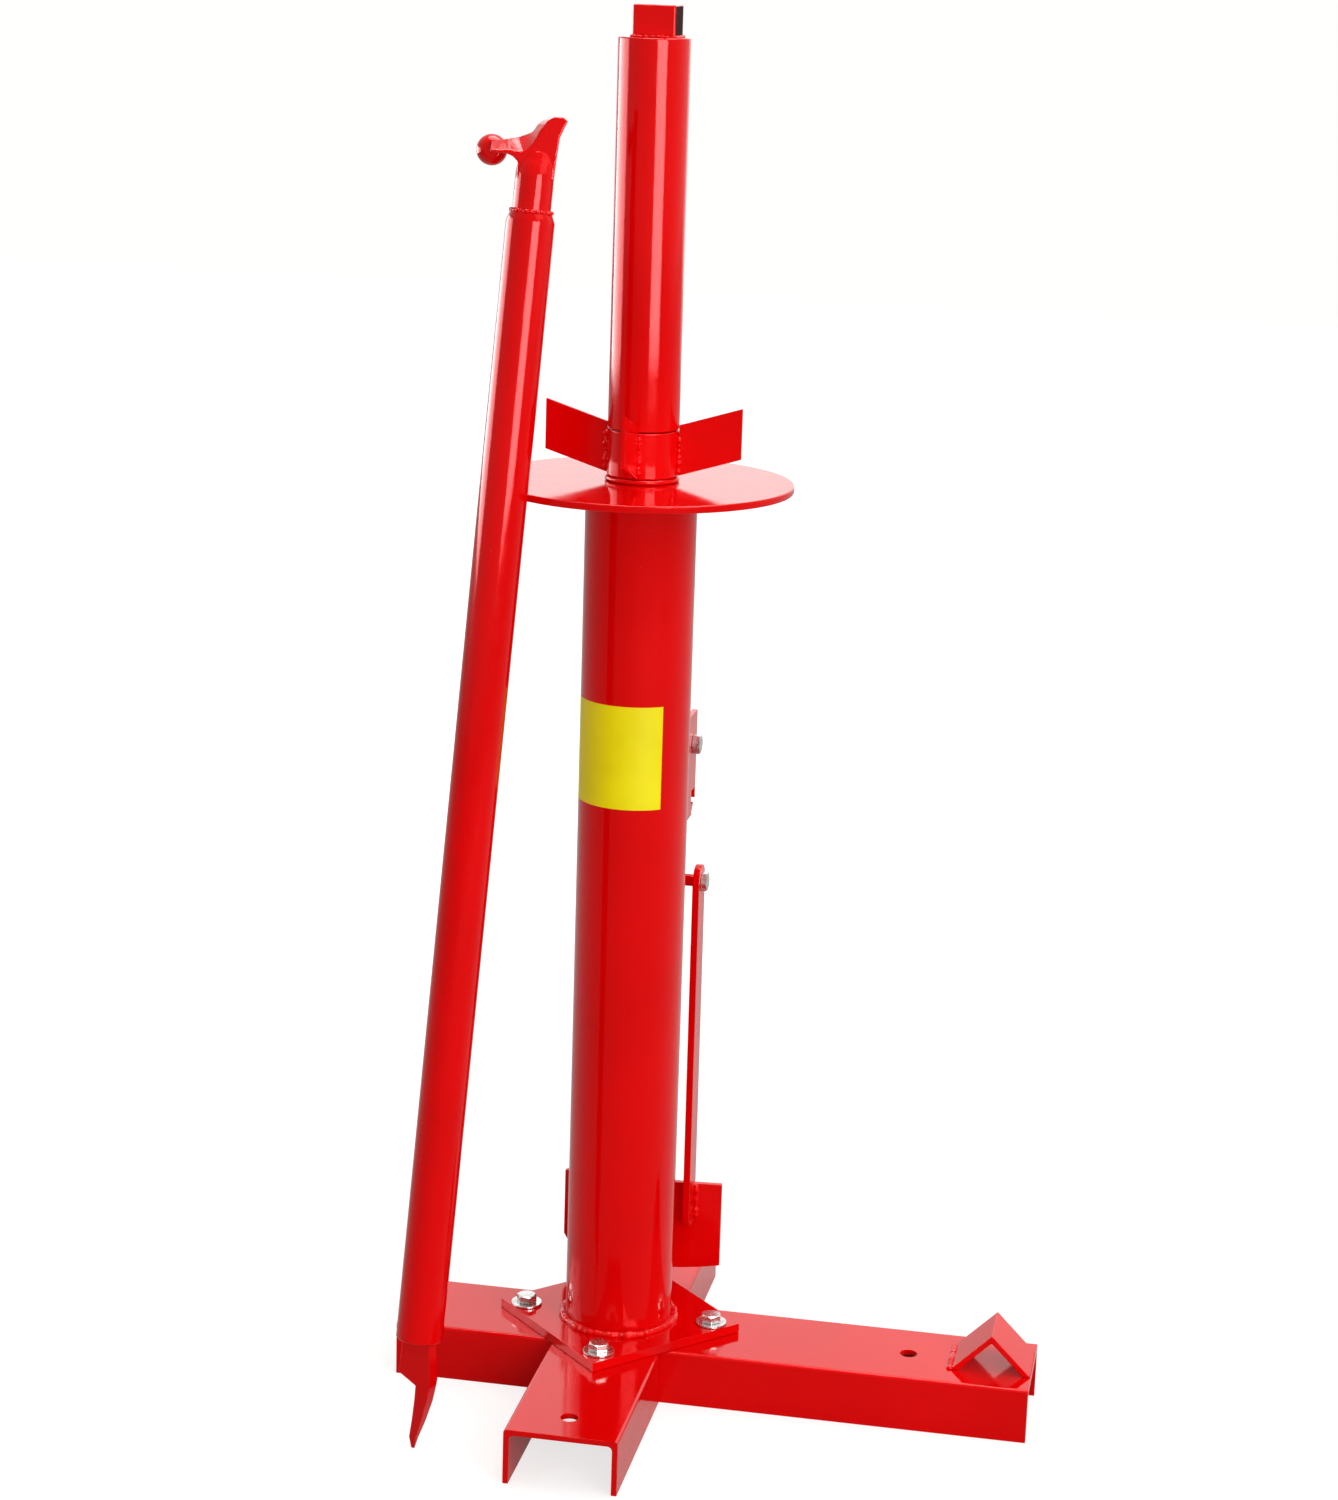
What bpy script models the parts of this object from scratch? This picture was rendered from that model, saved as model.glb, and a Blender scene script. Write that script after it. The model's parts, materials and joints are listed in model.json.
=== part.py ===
"""Portable manual tyre changer: cross base, column with wheel rest and winged
clamp hub, screw-down upper post, bead breaker and loose lever bar.
Metres, +Z up, column axis at (COLUMN_X, 0), floor at z = 0."""
import math
import bpy
import bmesh
from mathutils import Matrix, Vector

MM = 0.001
GAP = 0.3 * MM

# base
LEG_RIGHT = 299.2 * MM
LEG_LEFT = 154.0 * MM
LEG_FRONT = 189.0 * MM
LONG_W = 82.0 * MM
LEG_W = 78.5 * MM
CHANNEL_H = 39.4 * MM
CHANNEL_T = 4.0 * MM
ANCHOR_R = 6.0 * MM
ANCHOR_RIGHT = 88.3 * MM
ANCHOR_LEFT = 18.0 * MM
ANCHOR_END = 28.8 * MM
PLATE_HALF_X = 88.1 * MM
PLATE_HALF_Y = 92.5 * MM
PLATE_BACK = 4.4 * MM
PLATE_T = 6.5 * MM
BOLT_CIRCLE_R = 67.9 * MM
STOP_LEG = 40.0 * MM
STOP_T = 4.0 * MM
STOP_FROM_END = 28.6 * MM
STOP_Y = (-20.0 * MM, 24.0 * MM)

# column and wheel rest
COLUMN_R = 38.0 * MM
COLUMN_WALL = 3.0 * MM
REST_TOP = 653.7 * MM
REST_R = 103.0 * MM
REST_T = 5.0 * MM

# screw, hub and upper post
SPINDLE_R = 15.0 * MM
SPINDLE_UP = 136.0 * MM
HUB_H = 34.7 * MM
HUB_WASHER_T = 3.2 * MM
POST_R = 24.2 * MM
POST_WALL = 3.2 * MM
POST_H = 257.1 * MM
VANE_R = 67.3 * MM
VANE_T = 3.0 * MM
VANE_H = 34.4 * MM
VANE_RISE = 17.4
VANE_ANGLES = (0.0, 81.0, 180.0, 270.0)
TENON = (28.8 * MM, 27.0 * MM, 20.8 * MM)
TENON_OFF_X = 1.9 * MM

# bead breaker
BRACKET_RISE = 439.6 * MM
BRACKET_H = 75.0 * MM
EAR_OUT = 30.0 * MM
EAR_T = 4.0 * MM
EAR_REACH = 39.0 * MM
PIVOT_OUT = 25.5 * MM
PIVOT_RISE = 417.6 * MM
SOCKET_SIDE = 40.0 * MM
SOCKET_WALL = 3.0 * MM
SOCKET_L = 221.0 * MM
ARM_DROP = 100.5 * MM
ARM_IN = 34.6 * MM
ARM_T = 5.0 * MM
ARM_W = 24.0 * MM
ARM_L = 266.5 * MM
ARM_LEAN = 1.0
SHOE_W = 118.4 * MM
SHOE_H = 68.5 * MM
SHOE_T = 5.0 * MM
SHOE_TOP_DROP = 237.0 * MM
SHOE_CURVE_R = 540.0 * MM

# lever bar
BAR_R = 16.0 * MM
BAR_WALL = 3.0 * MM
BAR_TUBE = (79.5 * MM, 835.0 * MM)
BAR_LEAN = 6.26
BAR_LEAN_AZ = 55.8
BAR_AT_REST_AZ = 232.0
NECK_R = 12.7 * MM
HEAD_BASE = 868.0 * MM
HEAD_TWIST = 47.3
BLADE_TURN = 14.4
BLADE_IN_TUBE = 25.5 * MM

M8_R = 4.0 * MM
M8_HOLE_R = 4.4 * MM
M8_FLATS = 13.0 * MM
M8_HEAD = 5.3 * MM
M8_NUT = 6.5 * MM

COLUMN_X = (LEG_LEFT - LEG_RIGHT) / 2
PLATE_TOP = CHANNEL_H + GAP + PLATE_T
HUB_BOTTOM = REST_TOP + GAP
COLLAR_BOTTOM = HUB_BOTTOM + HUB_WASHER_T + GAP
HUB_TOP = HUB_BOTTOM + HUB_H
POST_BOTTOM = HUB_TOP + 0.6 * MM
POST_TOP = POST_BOTTOM + POST_H
BRACKET_TOP = CHANNEL_H + BRACKET_RISE
EAR_BACK = COLUMN_R + EAR_REACH
PIVOT_Y = COLUMN_R + PIVOT_OUT
PIVOT_Z = CHANNEL_H + PIVOT_RISE
ARM_Z = PIVOT_Z - ARM_DROP

for old in list(bpy.data.objects):
    bpy.data.objects.remove(old, do_unlink=True)

scene_root = bpy.context.scene.collection
parts = bpy.data.collections.new("portable_tyre_changer")
cutters = bpy.data.collections.new("cutters")
scene_root.children.link(parts)
scene_root.children.link(cutters)


def material(name, colour, metallic, roughness):
    m = bpy.data.materials.new(name)
    m.use_nodes = True
    b = m.node_tree.nodes["Principled BSDF"]
    b.inputs["Base Color"].default_value = (*colour, 1)
    b.inputs["Metallic"].default_value = metallic
    b.inputs["Roughness"].default_value = roughness
    return m


RED = material("red_enamel", (0.62, 0.004, 0.004), 0.0, 0.22)
ZINC = material("zinc_plate", (0.62, 0.62, 0.60), 1.0, 0.32)
STEEL = material("oiled_steel", (0.20, 0.20, 0.20), 1.0, 0.38)


def solid(name, verts, faces, mat=RED, at=(0, 0, 0), coll=None):
    """A closed mesh from machine coordinates, with its origin at the given point."""
    at = Vector(at)
    me = bpy.data.meshes.new(name)
    me.from_pydata([Vector(v) - at for v in verts], [], faces)
    bm = bmesh.new()
    bm.from_mesh(me)
    bmesh.ops.recalc_face_normals(bm, faces=bm.faces)
    bm.to_mesh(me)
    bm.free()
    ob = bpy.data.objects.new(name, me)
    ob.location = at + Vector((COLUMN_X, 0, 0))
    (coll or parts).objects.link(ob)
    if coll is cutters:
        ob.hide_render = True
        ob.display_type = "WIRE"
    else:
        me.materials.append(mat)
    return ob


def prism_mesh(outline, lo, hi, axis="z", frame=None):
    """Extrude a closed outline between two levels of one axis."""
    def lift(a, b, s):
        return {"x": (s, a, b), "y": (a, s, b), "z": (a, b, s)}[axis]
    n = len(outline)
    verts = [lift(a, b, lo) for a, b in outline] + [lift(a, b, hi) for a, b in outline]
    faces = [list(range(n)), list(range(n, 2 * n))]
    faces += [[i, (i + 1) % n, n + (i + 1) % n, n + i] for i in range(n)]
    if frame is not None:
        verts = [frame @ Vector(v) for v in verts]
    return verts, faces


def lathe_mesh(profile, seg=64, frame=None):
    """Turn a closed (radius, height) profile about the z axis; radius 0 makes a pole."""
    verts, rings = [], []
    for r, z in profile:
        if r == 0:
            rings.append([len(verts)] * seg)
            verts.append((0, 0, z))
        else:
            rings.append(list(range(len(verts), len(verts) + seg)))
            verts += [(r * math.cos(math.tau * k / seg), r * math.sin(math.tau * k / seg), z)
                      for k in range(seg)]
    faces = []
    for a, b in zip(rings, rings[1:] + rings[:1]):
        for k in range(seg):
            j = (k + 1) % seg
            face = list(dict.fromkeys([a[k], a[j], b[j], b[k]]))
            if len(face) > 2:
                faces.append(face)
    if frame is not None:
        verts = [frame @ Vector(v) for v in verts]
    return verts, faces


def tube_profile(r, wall, z0, z1, chamfer=0.6 * MM):
    c = chamfer
    return [(r, z0 + c), (r, z1 - c), (r - c, z1), (r - wall, z1), (r - wall, z0), (r - c, z0)]


def disc_profile(r, z0, z1, bore=0.0, chamfer=0.5 * MM):
    c = chamfer
    outer = [(r - c, z0), (r, z0 + c), (r, z1 - c), (r - c, z1)]
    return outer + ([(bore, z1), (bore, z0)] if bore else [(0, z1), (0, z0)])


def poly(n, r, turn=0.0):
    return [(r * math.cos(math.tau * k / n + turn), r * math.sin(math.tau * k / n + turn)) for k in range(n)]


def arc(cx, cy, r, a0, a1, n):
    return [(cx + r * math.cos(math.radians(a0 + (a1 - a0) * k / n)),
             cy + r * math.sin(math.radians(a0 + (a1 - a0) * k / n))) for k in range(n + 1)]


def combine(ob, other, how):
    m = ob.modifiers.new(how.lower(), "BOOLEAN")
    m.operation = how
    m.solver = "EXACT"
    m.object = other


def cut_round(ob, centre, r, lo, hi, axis="z", seg=32):
    """Cut a straight round hole; centre is the pair of coordinates across the axis."""
    pts = [(centre[0] + a, centre[1] + b) for a, b in poly(seg, r, math.pi / seg)]
    c = solid("cut_" + ob.name, *prism_mesh(pts, lo, hi, axis), coll=cutters)
    combine(ob, c, "DIFFERENCE")


def soften(ob, width):
    m = ob.modifiers.new("edges", "BEVEL")
    m.width = width
    m.segments = 2
    m.limit_method = "ANGLE"
    m.angle_limit = math.radians(50)


def axis_frame(origin, direction):
    """Local z along the direction, local origin at the given point."""
    return Matrix.Translation(origin) @ Vector(direction).to_track_quat("Z", "Y").to_matrix().to_4x4()


def hex_bolt(name, origin, direction, shank, head=M8_HEAD, at=None):
    """Head underside at the origin, shank running back along minus direction."""
    f = axis_frame(origin, direction)
    ob = solid(name, *prism_mesh(poly(6, M8_FLATS / math.sqrt(3)), 0, head, frame=f),
               mat=ZINC, at=at or origin)
    soften(ob, 0.5 * MM)
    c = solid("shank_" + name, *lathe_mesh([(0, head / 2), (M8_R, head / 2), (M8_R, 0.6 * MM - shank),
              (M8_R - 0.6 * MM, -shank), (0, -shank)], 32, f), coll=cutters)
    combine(ob, c, "UNION")
    return ob


def hex_nut(name, origin, direction, at=None):
    """Seat face at the origin, nut standing along the direction."""
    f = axis_frame(origin, direction)
    ob = solid(name, *prism_mesh(poly(6, M8_FLATS / math.sqrt(3)), 0, M8_NUT, frame=f),
               mat=ZINC, at=at or origin)
    soften(ob, 0.4 * MM)
    c = solid("cut_" + name, *lathe_mesh([(0, -1 * MM), (M8_HOLE_R, -1 * MM), (M8_HOLE_R, M8_NUT + MM),
              (0, M8_NUT + MM)], 32, f), coll=cutters)
    combine(ob, c, "DIFFERENCE")
    return ob


# ---- base ----
def channel_outline(width):
    w, h, t = width / 2, CHANNEL_H, CHANNEL_T
    ro, ri = 2.2 * MM, 4.0 * MM
    left = [(-w, 0)] + arc(-w + ro, h - ro, ro, 180, 90, 4)
    right = arc(w - ro, h - ro, ro, 90, 0, 4) + [(w, 0)]
    inner = [(w - t, 0)] + arc(w - t - ri, h - t - ri, ri, 0, 90, 4)
    inner += arc(-w + t + ri, h - t - ri, ri, 90, 180, 4) + [(-w + t, 0)]
    return left + right + inner


under = CHANNEL_H - CHANNEL_T - MM
over = CHANNEL_H + MM
side = LONG_W / 2 + GAP

base = solid("long_base_channel", *prism_mesh(channel_outline(LONG_W), -LEG_LEFT, LEG_RIGHT, "x"))
for x, r in ((LEG_RIGHT - ANCHOR_RIGHT, ANCHOR_R), (-LEG_LEFT + ANCHOR_LEFT, ANCHOR_R),
             (BOLT_CIRCLE_R, M8_HOLE_R), (-BOLT_CIRCLE_R, M8_HOLE_R)):
    cut_round(base, (x, 0), r, under, over)
for name, s in (("front_leg_channel", -1), ("rear_leg_channel", 1)):
    leg = solid(name, *prism_mesh(channel_outline(LEG_W), s * LEG_FRONT, s * side, "y"))
    cut_round(leg, (0, s * (LEG_FRONT - ANCHOR_END)), ANCHOR_R, under, over)
    cut_round(leg, (0, s * BOLT_CIRCLE_R), M8_HOLE_R, under, over)

plate_outline = [(PLATE_HALF_X, PLATE_BACK), (0, PLATE_BACK + PLATE_HALF_Y), (-PLATE_HALF_X, PLATE_BACK),
                 (0, PLATE_BACK - PLATE_HALF_Y)]
plate = solid("base_plate", *prism_mesh(plate_outline, CHANNEL_H + GAP, PLATE_TOP))
soften(plate, 0.8 * MM)
for k in range(4):
    x, y = poly(4, BOLT_CIRCLE_R)[k]
    cut_round(plate, (x, y), M8_HOLE_R, CHANNEL_H - MM, PLATE_TOP + MM)

for k, tag in enumerate(("right", "rear", "left", "front")):
    x, y = poly(4, BOLT_CIRCLE_R)[k]
    solid("base_washer_" + tag, *lathe_mesh(disc_profile(11 * MM, PLATE_TOP + GAP, PLATE_TOP + GAP + 1.6 * MM,
          M8_HOLE_R, 0.2 * MM), 40, Matrix.Translation((x, y, 0))), mat=ZINC, at=(x, y, PLATE_TOP))
    seat = PLATE_TOP + 2 * GAP + 1.6 * MM
    hex_bolt("base_bolt_" + tag, (x, y, seat), (0, 0, 1), seat - CHANNEL_H + CHANNEL_T + 10 * MM)
    hex_nut("base_nut_" + tag, (x, y, CHANNEL_H - CHANNEL_T - GAP), (0, 0, -1))

stop_x = LEG_RIGHT - STOP_FROM_END
d = STOP_LEG / math.sqrt(2)
t2 = STOP_T * math.sqrt(2)
foot = CHANNEL_H + GAP
cutback = STOP_T / math.sqrt(2)
stop_outline = [(stop_x - d, foot), (stop_x, foot + d), (stop_x + d, foot), (stop_x + d - t2, foot),
                (stop_x, foot + d - t2), (stop_x - d + t2, foot)]
solid("wheel_stop_angle", *prism_mesh(stop_outline, STOP_Y[0], STOP_Y[1], "y"))

# ---- column and wheel rest ----
solid("column_tube", *lathe_mesh(tube_profile(COLUMN_R, COLUMN_WALL, PLATE_TOP + GAP,
      REST_TOP - REST_T - GAP), 96))
bore = SPINDLE_R + GAP
solid("wheel_rest_disc", *lathe_mesh(disc_profile(REST_R, REST_TOP - REST_T, REST_TOP, bore, 0.8 * MM), 128))
plug_r = COLUMN_R - COLUMN_WALL - GAP
solid("spindle_plug", *lathe_mesh(disc_profile(plug_r, REST_TOP - 54 * MM, REST_TOP - 42 * MM, bore), 64))
s0, s1 = REST_TOP - 64 * MM, REST_TOP + SPINDLE_UP
solid("threaded_spindle", *lathe_mesh([(0, s0), (SPINDLE_R - MM, s0), (SPINDLE_R, s0 + MM),
      (SPINDLE_R, s1 - 2 * MM), (SPINDLE_R - 2 * MM, s1), (0, s1)], 48), mat=STEEL)

# ---- winged clamp hub ----
hub_at = (0, 0, HUB_BOTTOM)
hub_bore = SPINDLE_R + 0.6 * MM
solid("hub_washer", *lathe_mesh(disc_profile(25.4 * MM, HUB_BOTTOM, HUB_BOTTOM + HUB_WASHER_T, hub_bore, MM), 64),
      at=hub_at)
solid("hub_collar", *lathe_mesh(disc_profile(POST_R, COLLAR_BOTTOM, HUB_TOP, hub_bore, 0.8 * MM), 64), at=hub_at)
vane_in = POST_R + 0.4 * MM
rise = (VANE_R - vane_in) * math.tan(math.radians(VANE_RISE))
v0 = COLLAR_BOTTOM + 0.6 * MM
vane_outline = [(vane_in, v0), (VANE_R, v0 + rise), (VANE_R, v0 + rise + VANE_H), (vane_in, v0 + VANE_H)]
for k, ang in enumerate(VANE_ANGLES):
    v = solid("hub_vane_%d" % (k + 1), *prism_mesh(vane_outline, -VANE_T / 2, VANE_T / 2, "y",
              Matrix.Rotation(math.radians(ang), 4, "Z")), at=hub_at)
    soften(v, 0.3 * MM)

# ---- upper post ----
post_at = (0, 0, POST_BOTTOM)
solid("upper_post_tube", *lathe_mesh(tube_profile(POST_R, POST_WALL, POST_BOTTOM, POST_TOP, 0.9 * MM), 96),
      at=post_at)
post_bore = POST_R - POST_WALL - GAP
solid("post_thread_insert", *lathe_mesh(disc_profile(post_bore, POST_BOTTOM + MM, POST_BOTTOM + 41 * MM,
      bore), 64), mat=STEEL, at=post_at)
solid("post_cap", *lathe_mesh(disc_profile(post_bore, POST_TOP - 5 * MM, POST_TOP), 64), at=post_at)
tw, td, th = TENON
tx, ty = TENON_OFF_X, 0.0
tenon = solid("post_tenon", *prism_mesh([(tx - tw / 2, ty - td / 2), (tx + tw / 2, ty - td / 2),
              (tx + tw / 2, ty + td / 2), (tx - tw / 2, ty + td / 2)], POST_TOP + GAP, POST_TOP + GAP + th),
              at=post_at)
soften(tenon, 1.5 * MM)

# ---- lever bracket ----
web = COLUMN_R + GAP
z1, z0 = BRACKET_TOP, BRACKET_TOP - BRACKET_H
u = [(-EAR_OUT, EAR_BACK)] + arc(-EAR_OUT + 5 * MM, web + 5 * MM, 5 * MM, 180, 270, 4)
u += arc(EAR_OUT - 5 * MM, web + 5 * MM, 5 * MM, 270, 360, 4) + [(EAR_OUT, EAR_BACK), (EAR_OUT - EAR_T, EAR_BACK)]
u += [(EAR_OUT - EAR_T, web + EAR_T + MM), (EAR_OUT - EAR_T - MM, web + EAR_T)]
u += [(-EAR_OUT + EAR_T + MM, web + EAR_T), (-EAR_OUT + EAR_T, web + EAR_T + MM), (-EAR_OUT + EAR_T, EAR_BACK)]
bracket = solid("lever_bracket", *prism_mesh(u, z0, z1))
wide = EAR_OUT + 5 * MM
c = solid("cut_bracket_corner", *prism_mesh([(EAR_BACK - 10 * MM, z0 - MM), (EAR_BACK + MM, z0 - MM),
          (EAR_BACK + MM, z0 + 10 * MM)], -wide, wide, "x"), coll=cutters)
combine(bracket, c, "DIFFERENCE")
c = solid("cut_bracket_slot", *prism_mesh([(EAR_BACK - 15 * MM, z0 + 8.5 * MM), (EAR_BACK - 3 * MM, z0 + 8.5 * MM),
          (EAR_BACK - 3 * MM, z0 + 18.5 * MM), (EAR_BACK - 15 * MM, z0 + 18.5 * MM)], -wide, wide, "x"), coll=cutters)
combine(bracket, c, "DIFFERENCE")
cut_round(bracket, (PIVOT_Y, PIVOT_Z), M8_HOLE_R, -wide, wide, "x")
hex_bolt("bracket_bolt", (EAR_OUT + GAP, PIVOT_Y, PIVOT_Z), (1, 0, 0), 2 * EAR_OUT + 9 * MM)
hex_nut("bracket_nut", (-EAR_OUT - GAP, PIVOT_Y, PIVOT_Z), (-1, 0, 0))

# ---- lever socket, swings on the bracket bolt ----
pivot = (0, PIVOT_Y, PIVOT_Z)
hs = SOCKET_SIDE / 2
hi_ = hs - SOCKET_WALL
cheek = 17 * MM
low = PIVOT_Z - SOCKET_L
socket = solid("lever_socket", *prism_mesh([(-hs, PIVOT_Y - hs), (hs, PIVOT_Y - hs), (hs, PIVOT_Y + hs),
               (-hs, PIVOT_Y + hs)], low, PIVOT_Z + cheek + MM), at=pivot)
soften(socket, 2 * MM)
c = solid("cut_socket_bore", *prism_mesh([(-hi_, PIVOT_Y - hi_), (hi_, PIVOT_Y - hi_), (hi_, PIVOT_Y + hi_),
          (-hi_, PIVOT_Y + hi_)], low - MM, PIVOT_Z + 30 * MM), coll=cutters)
combine(socket, c, "DIFFERENCE")
shoulder = PIVOT_Z - 21 * MM
far = 30 * MM
around = [(PIVOT_Y - far, shoulder), (PIVOT_Y - cheek, shoulder)] + arc(PIVOT_Y, PIVOT_Z, cheek, 180, 0, 16)
around += [(PIVOT_Y + cheek, shoulder), (PIVOT_Y + far, shoulder), (PIVOT_Y + far, PIVOT_Z + far),
           (PIVOT_Y - far, PIVOT_Z + far)]
c = solid("cut_socket_cheeks", *prism_mesh(around, -far, far, "x"), coll=cutters)
combine(socket, c, "DIFFERENCE")
cut_round(socket, (PIVOT_Y, PIVOT_Z), M8_HOLE_R, -far, far, "x")
cut_round(socket, (PIVOT_Y, ARM_Z), M8_HOLE_R, -far, far, "x")
for tag, s in (("right", 1), ("left", -1)):
    f = axis_frame((s * (hs + GAP), PIVOT_Y, PIVOT_Z), (s, 0, 0))
    long = EAR_OUT - EAR_T - hs - 2 * GAP
    solid("bracket_spacer_" + tag, *lathe_mesh(disc_profile(8 * MM, 0, long, M8_HOLE_R), 32, f), mat=ZINC, at=pivot)
arm_out = ARM_IN + ARM_T + GAP
hex_bolt("arm_bolt", (arm_out, PIVOT_Y, ARM_Z), (1, 0, 0), 2 * arm_out + 9 * MM, 4.0 * MM, at=pivot)
hex_nut("arm_nut", (-arm_out, PIVOT_Y, ARM_Z), (-1, 0, 0), at=pivot)

# ---- bead breaker arm, hangs from the arm bolt ----
arm_pivot = (0, PIVOT_Y, ARM_Z)
lean = Matrix.Translation(arm_pivot) @ Matrix.Rotation(math.radians(ARM_LEAN), 4, "X")
hw = ARM_W / 2
foot_r = 14 * MM
bar_outline = arc(0, 0, hw, 0, 180, 12) + arc(-hw + foot_r, -ARM_L + foot_r, foot_r, 180, 270, 6)
cut_y = hw - 4.6 * MM
step = -SHOE_TOP_DROP + 2 * MM
bar_outline += [(cut_y, -ARM_L), (cut_y, step), (hw, step)]
for tag, s in (("right", 1), ("left", -1)):
    a = solid("breaker_arm_" + tag, *prism_mesh(bar_outline, s * ARM_IN, s * (ARM_IN + ARM_T), "x", lean),
              at=arm_pivot)
    f = lean @ axis_frame((0, 0, 0), (1, 0, 0))
    c = solid("cut_arm_" + tag, *lathe_mesh([(0, -60 * MM), (M8_HOLE_R, -60 * MM), (M8_HOLE_R, 60 * MM),
              (0, 60 * MM)], 32, f), coll=cutters)
    combine(a, c, "DIFFERENCE")

top = ARM_Z - SHOE_TOP_DROP
half = SHOE_W / 2
crest = PIVOT_Y + math.sin(math.radians(ARM_LEAN)) * ARM_L + cut_y + 2.4 * MM
shoe_steps = 24
verts, faces = [], []
for i in range(shoe_steps + 1):
    x = -half + SHOE_W * i / shoe_steps
    q = x / half
    edge = top - SHOE_H + 4.8 * MM * q * q
    if q < -0.72:
        edge += 13.7 * MM * ((-q - 0.72) / 0.28) ** 2
    back = x * x / (2 * SHOE_CURVE_R)
    verts += [(x, crest + back, edge), (x, crest + back, top),
              (x, crest + back + SHOE_T, top), (x, crest + back + SHOE_T, edge + 1.5 * MM)]
for i in range(shoe_steps):
    a, b = 4 * i, 4 * i + 4
    faces += [[a + k, a + (k + 1) % 4, b + (k + 1) % 4, b + k] for k in range(4)]
faces += [[0, 1, 2, 3], [4 * shoe_steps + k for k in range(4)]]
solid("breaker_shoe", verts, faces, at=arm_pivot)

# ---- lever bar, stands on its blade and leans on the wheel rest ----
la, lz = math.radians(BAR_LEAN), math.radians(BAR_LEAN_AZ)
u_dir = Vector((math.sin(la) * math.cos(lz), math.sin(la) * math.sin(lz), math.cos(la)))
b_dir = Vector((math.sin(lz), -math.cos(lz), 0))
n_dir = u_dir.cross(b_dir)
rest_az = math.radians(BAR_AT_REST_AZ)
reach = REST_R + BAR_R / math.cos(la) + 0.4 * MM
at_rest = Vector((reach * math.cos(rest_az), reach * math.sin(rest_az), REST_TOP))
foot_pt = at_rest - u_dir * (REST_TOP / u_dir.z)
bar = Matrix((b_dir, n_dir, u_dir)).transposed().to_4x4()
bar.translation = foot_pt
tip_n = 2.2 * MM
tip = bar @ Vector((0, tip_n, 0))
tip.z = 0

b0, b1 = BAR_TUBE
inner = BAR_R - BAR_WALL
solid("bar_tube", *lathe_mesh([(BAR_R - 0.6 * MM, b0), (BAR_R, b0 + 0.6 * MM), (BAR_R, b1 - MM),
      (BAR_R - 0.8 * MM, b1 + 0.6 * MM), (NECK_R + 1.6 * MM, b1 + 6.4 * MM), (NECK_R + 0.6 * MM, b1 + 7 * MM),
      (inner, b1 + 4 * MM), (inner, b0)], 64, bar), at=tip)

turn = bar @ Matrix.Rotation(math.radians(HEAD_TWIST), 4, "Z")
hb = HEAD_BASE
plug_r = inner - GAP
neck = solid("bar_head", *lathe_mesh([(0, b1 - 30 * MM), (plug_r, b1 - 30 * MM), (plug_r, b1 + 3 * MM),
             (NECK_R, b1 + 6 * MM), (NECK_R, hb + 4 * MM),
             (NECK_R - 2 * MM, hb + 9 * MM), (0, hb + 9 * MM)], 48, turn), at=tip)
near = [(12.4, -6), (12.7, 8), (13.6, 22), (15.6, 27.5), (17.6, 32.4), (14.5, 34.8), (8.9, 34.4), (4.5, 31.5),
        (3.6, 29.5), (0.2, 24.3), (-1.6, 19.7), (-3.5, 15.6), (-6.6, 11.9), (-9.3, 10.5), (-12.1, 10.2),
        (-17.4, 10.8), (-26.4, 9.8), (-30, 10.2), (-30, 8.4), (-19, 8.2), (-15.4, 7), (-11.8, 4), (-11.6, -6)]
far = [(12.4, -6), (12.7, 8), (13.6, 22), (15.6, 27.5), (17.6, 32.4), (14.5, 35.4), (8.9, 35.8), (2.3, 32.4),
       (-1.4, 29.4), (-4.3, 24.1), (-7.1, 22.6), (-9.8, 21.4), (-13.1, 19.9), (-16, 19), (-19.3, 18.2),
       (-23, 17.4), (-27, 16.5), (-30, 15.6), (-30, 9.4), (-19, 9.2), (-15.4, 7), (-11.8, 4), (-11.6, -6)]
count = len(near)
verts = [turn @ Vector((a * MM, y * MM, hb + b * MM)) for side, y in ((near, -7), (far, 7)) for a, b in side]
faces = [list(range(count)), list(range(2 * count - 1, count - 1, -1))]
faces += [[k, (k + 1) % count, count + (k + 1) % count, count + k] for k in range(count)]
c = solid("head_hook", verts, faces, coll=cutters)
combine(neck, c, "UNION")

knob_r = 10.2 * MM
ball = [(0, 7.4 * MM)] + [(knob_r * math.sin(math.radians(q)), 16 * MM - knob_r * math.cos(math.radians(q)))
                          for q in range(36, 180, 9)] + [(0, 16 * MM + knob_r)]
ball[1] = (ball[1][0], 7.4 * MM)
knob_at = turn @ Vector((-29.2 * MM, 0, hb + 9.9 * MM))
knob_dir = turn.to_3x3() @ Vector((0, 1, 0))
solid("bar_knob", *lathe_mesh(ball, 40, axis_frame(knob_at, knob_dir)), at=tip)

blade = bar @ Matrix.Rotation(math.radians(BLADE_TURN), 4, "Z")
collar = b0 - GAP
levels = ((b0 + BLADE_IN_TUBE, -11, 11, -4.2, 4.2), (collar, -11, 11, -4.2, 4.2), (collar, -11.4, 15.4, -4.5, 4.5),
          (53 * MM, -11, 15.2, -4.5, 4.5), (47 * MM, 3.3, 14.6, -4.5, 4.5), (37 * MM, 3.5, 13.2, -4.5, 4.5),
          (21 * MM, 1.6, 9.0, -2.3, 4.5), (8 * MM, -0.6, 4.9, -0.2, 3.8), (0, 1.2, 3.6, 1.2, 2.2))
verts = []
for t, left, right, front, back in levels:
    verts += [blade @ Vector((a * MM, b * MM, t))
              for a, b in ((left, front), (right, front), (right, back), (left, back))]
for v in verts[-4:]:
    v.z = 0
last = 4 * (len(levels) - 1)
faces = [[0, 1, 2, 3], [last, last + 1, last + 2, last + 3]]
for r in range(0, last, 4):
    faces += [[r + k, r + (k + 1) % 4, r + 4 + (k + 1) % 4, r + 4 + k] for k in range(4)]
solid("bar_blade", verts, faces, at=tip)
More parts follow.
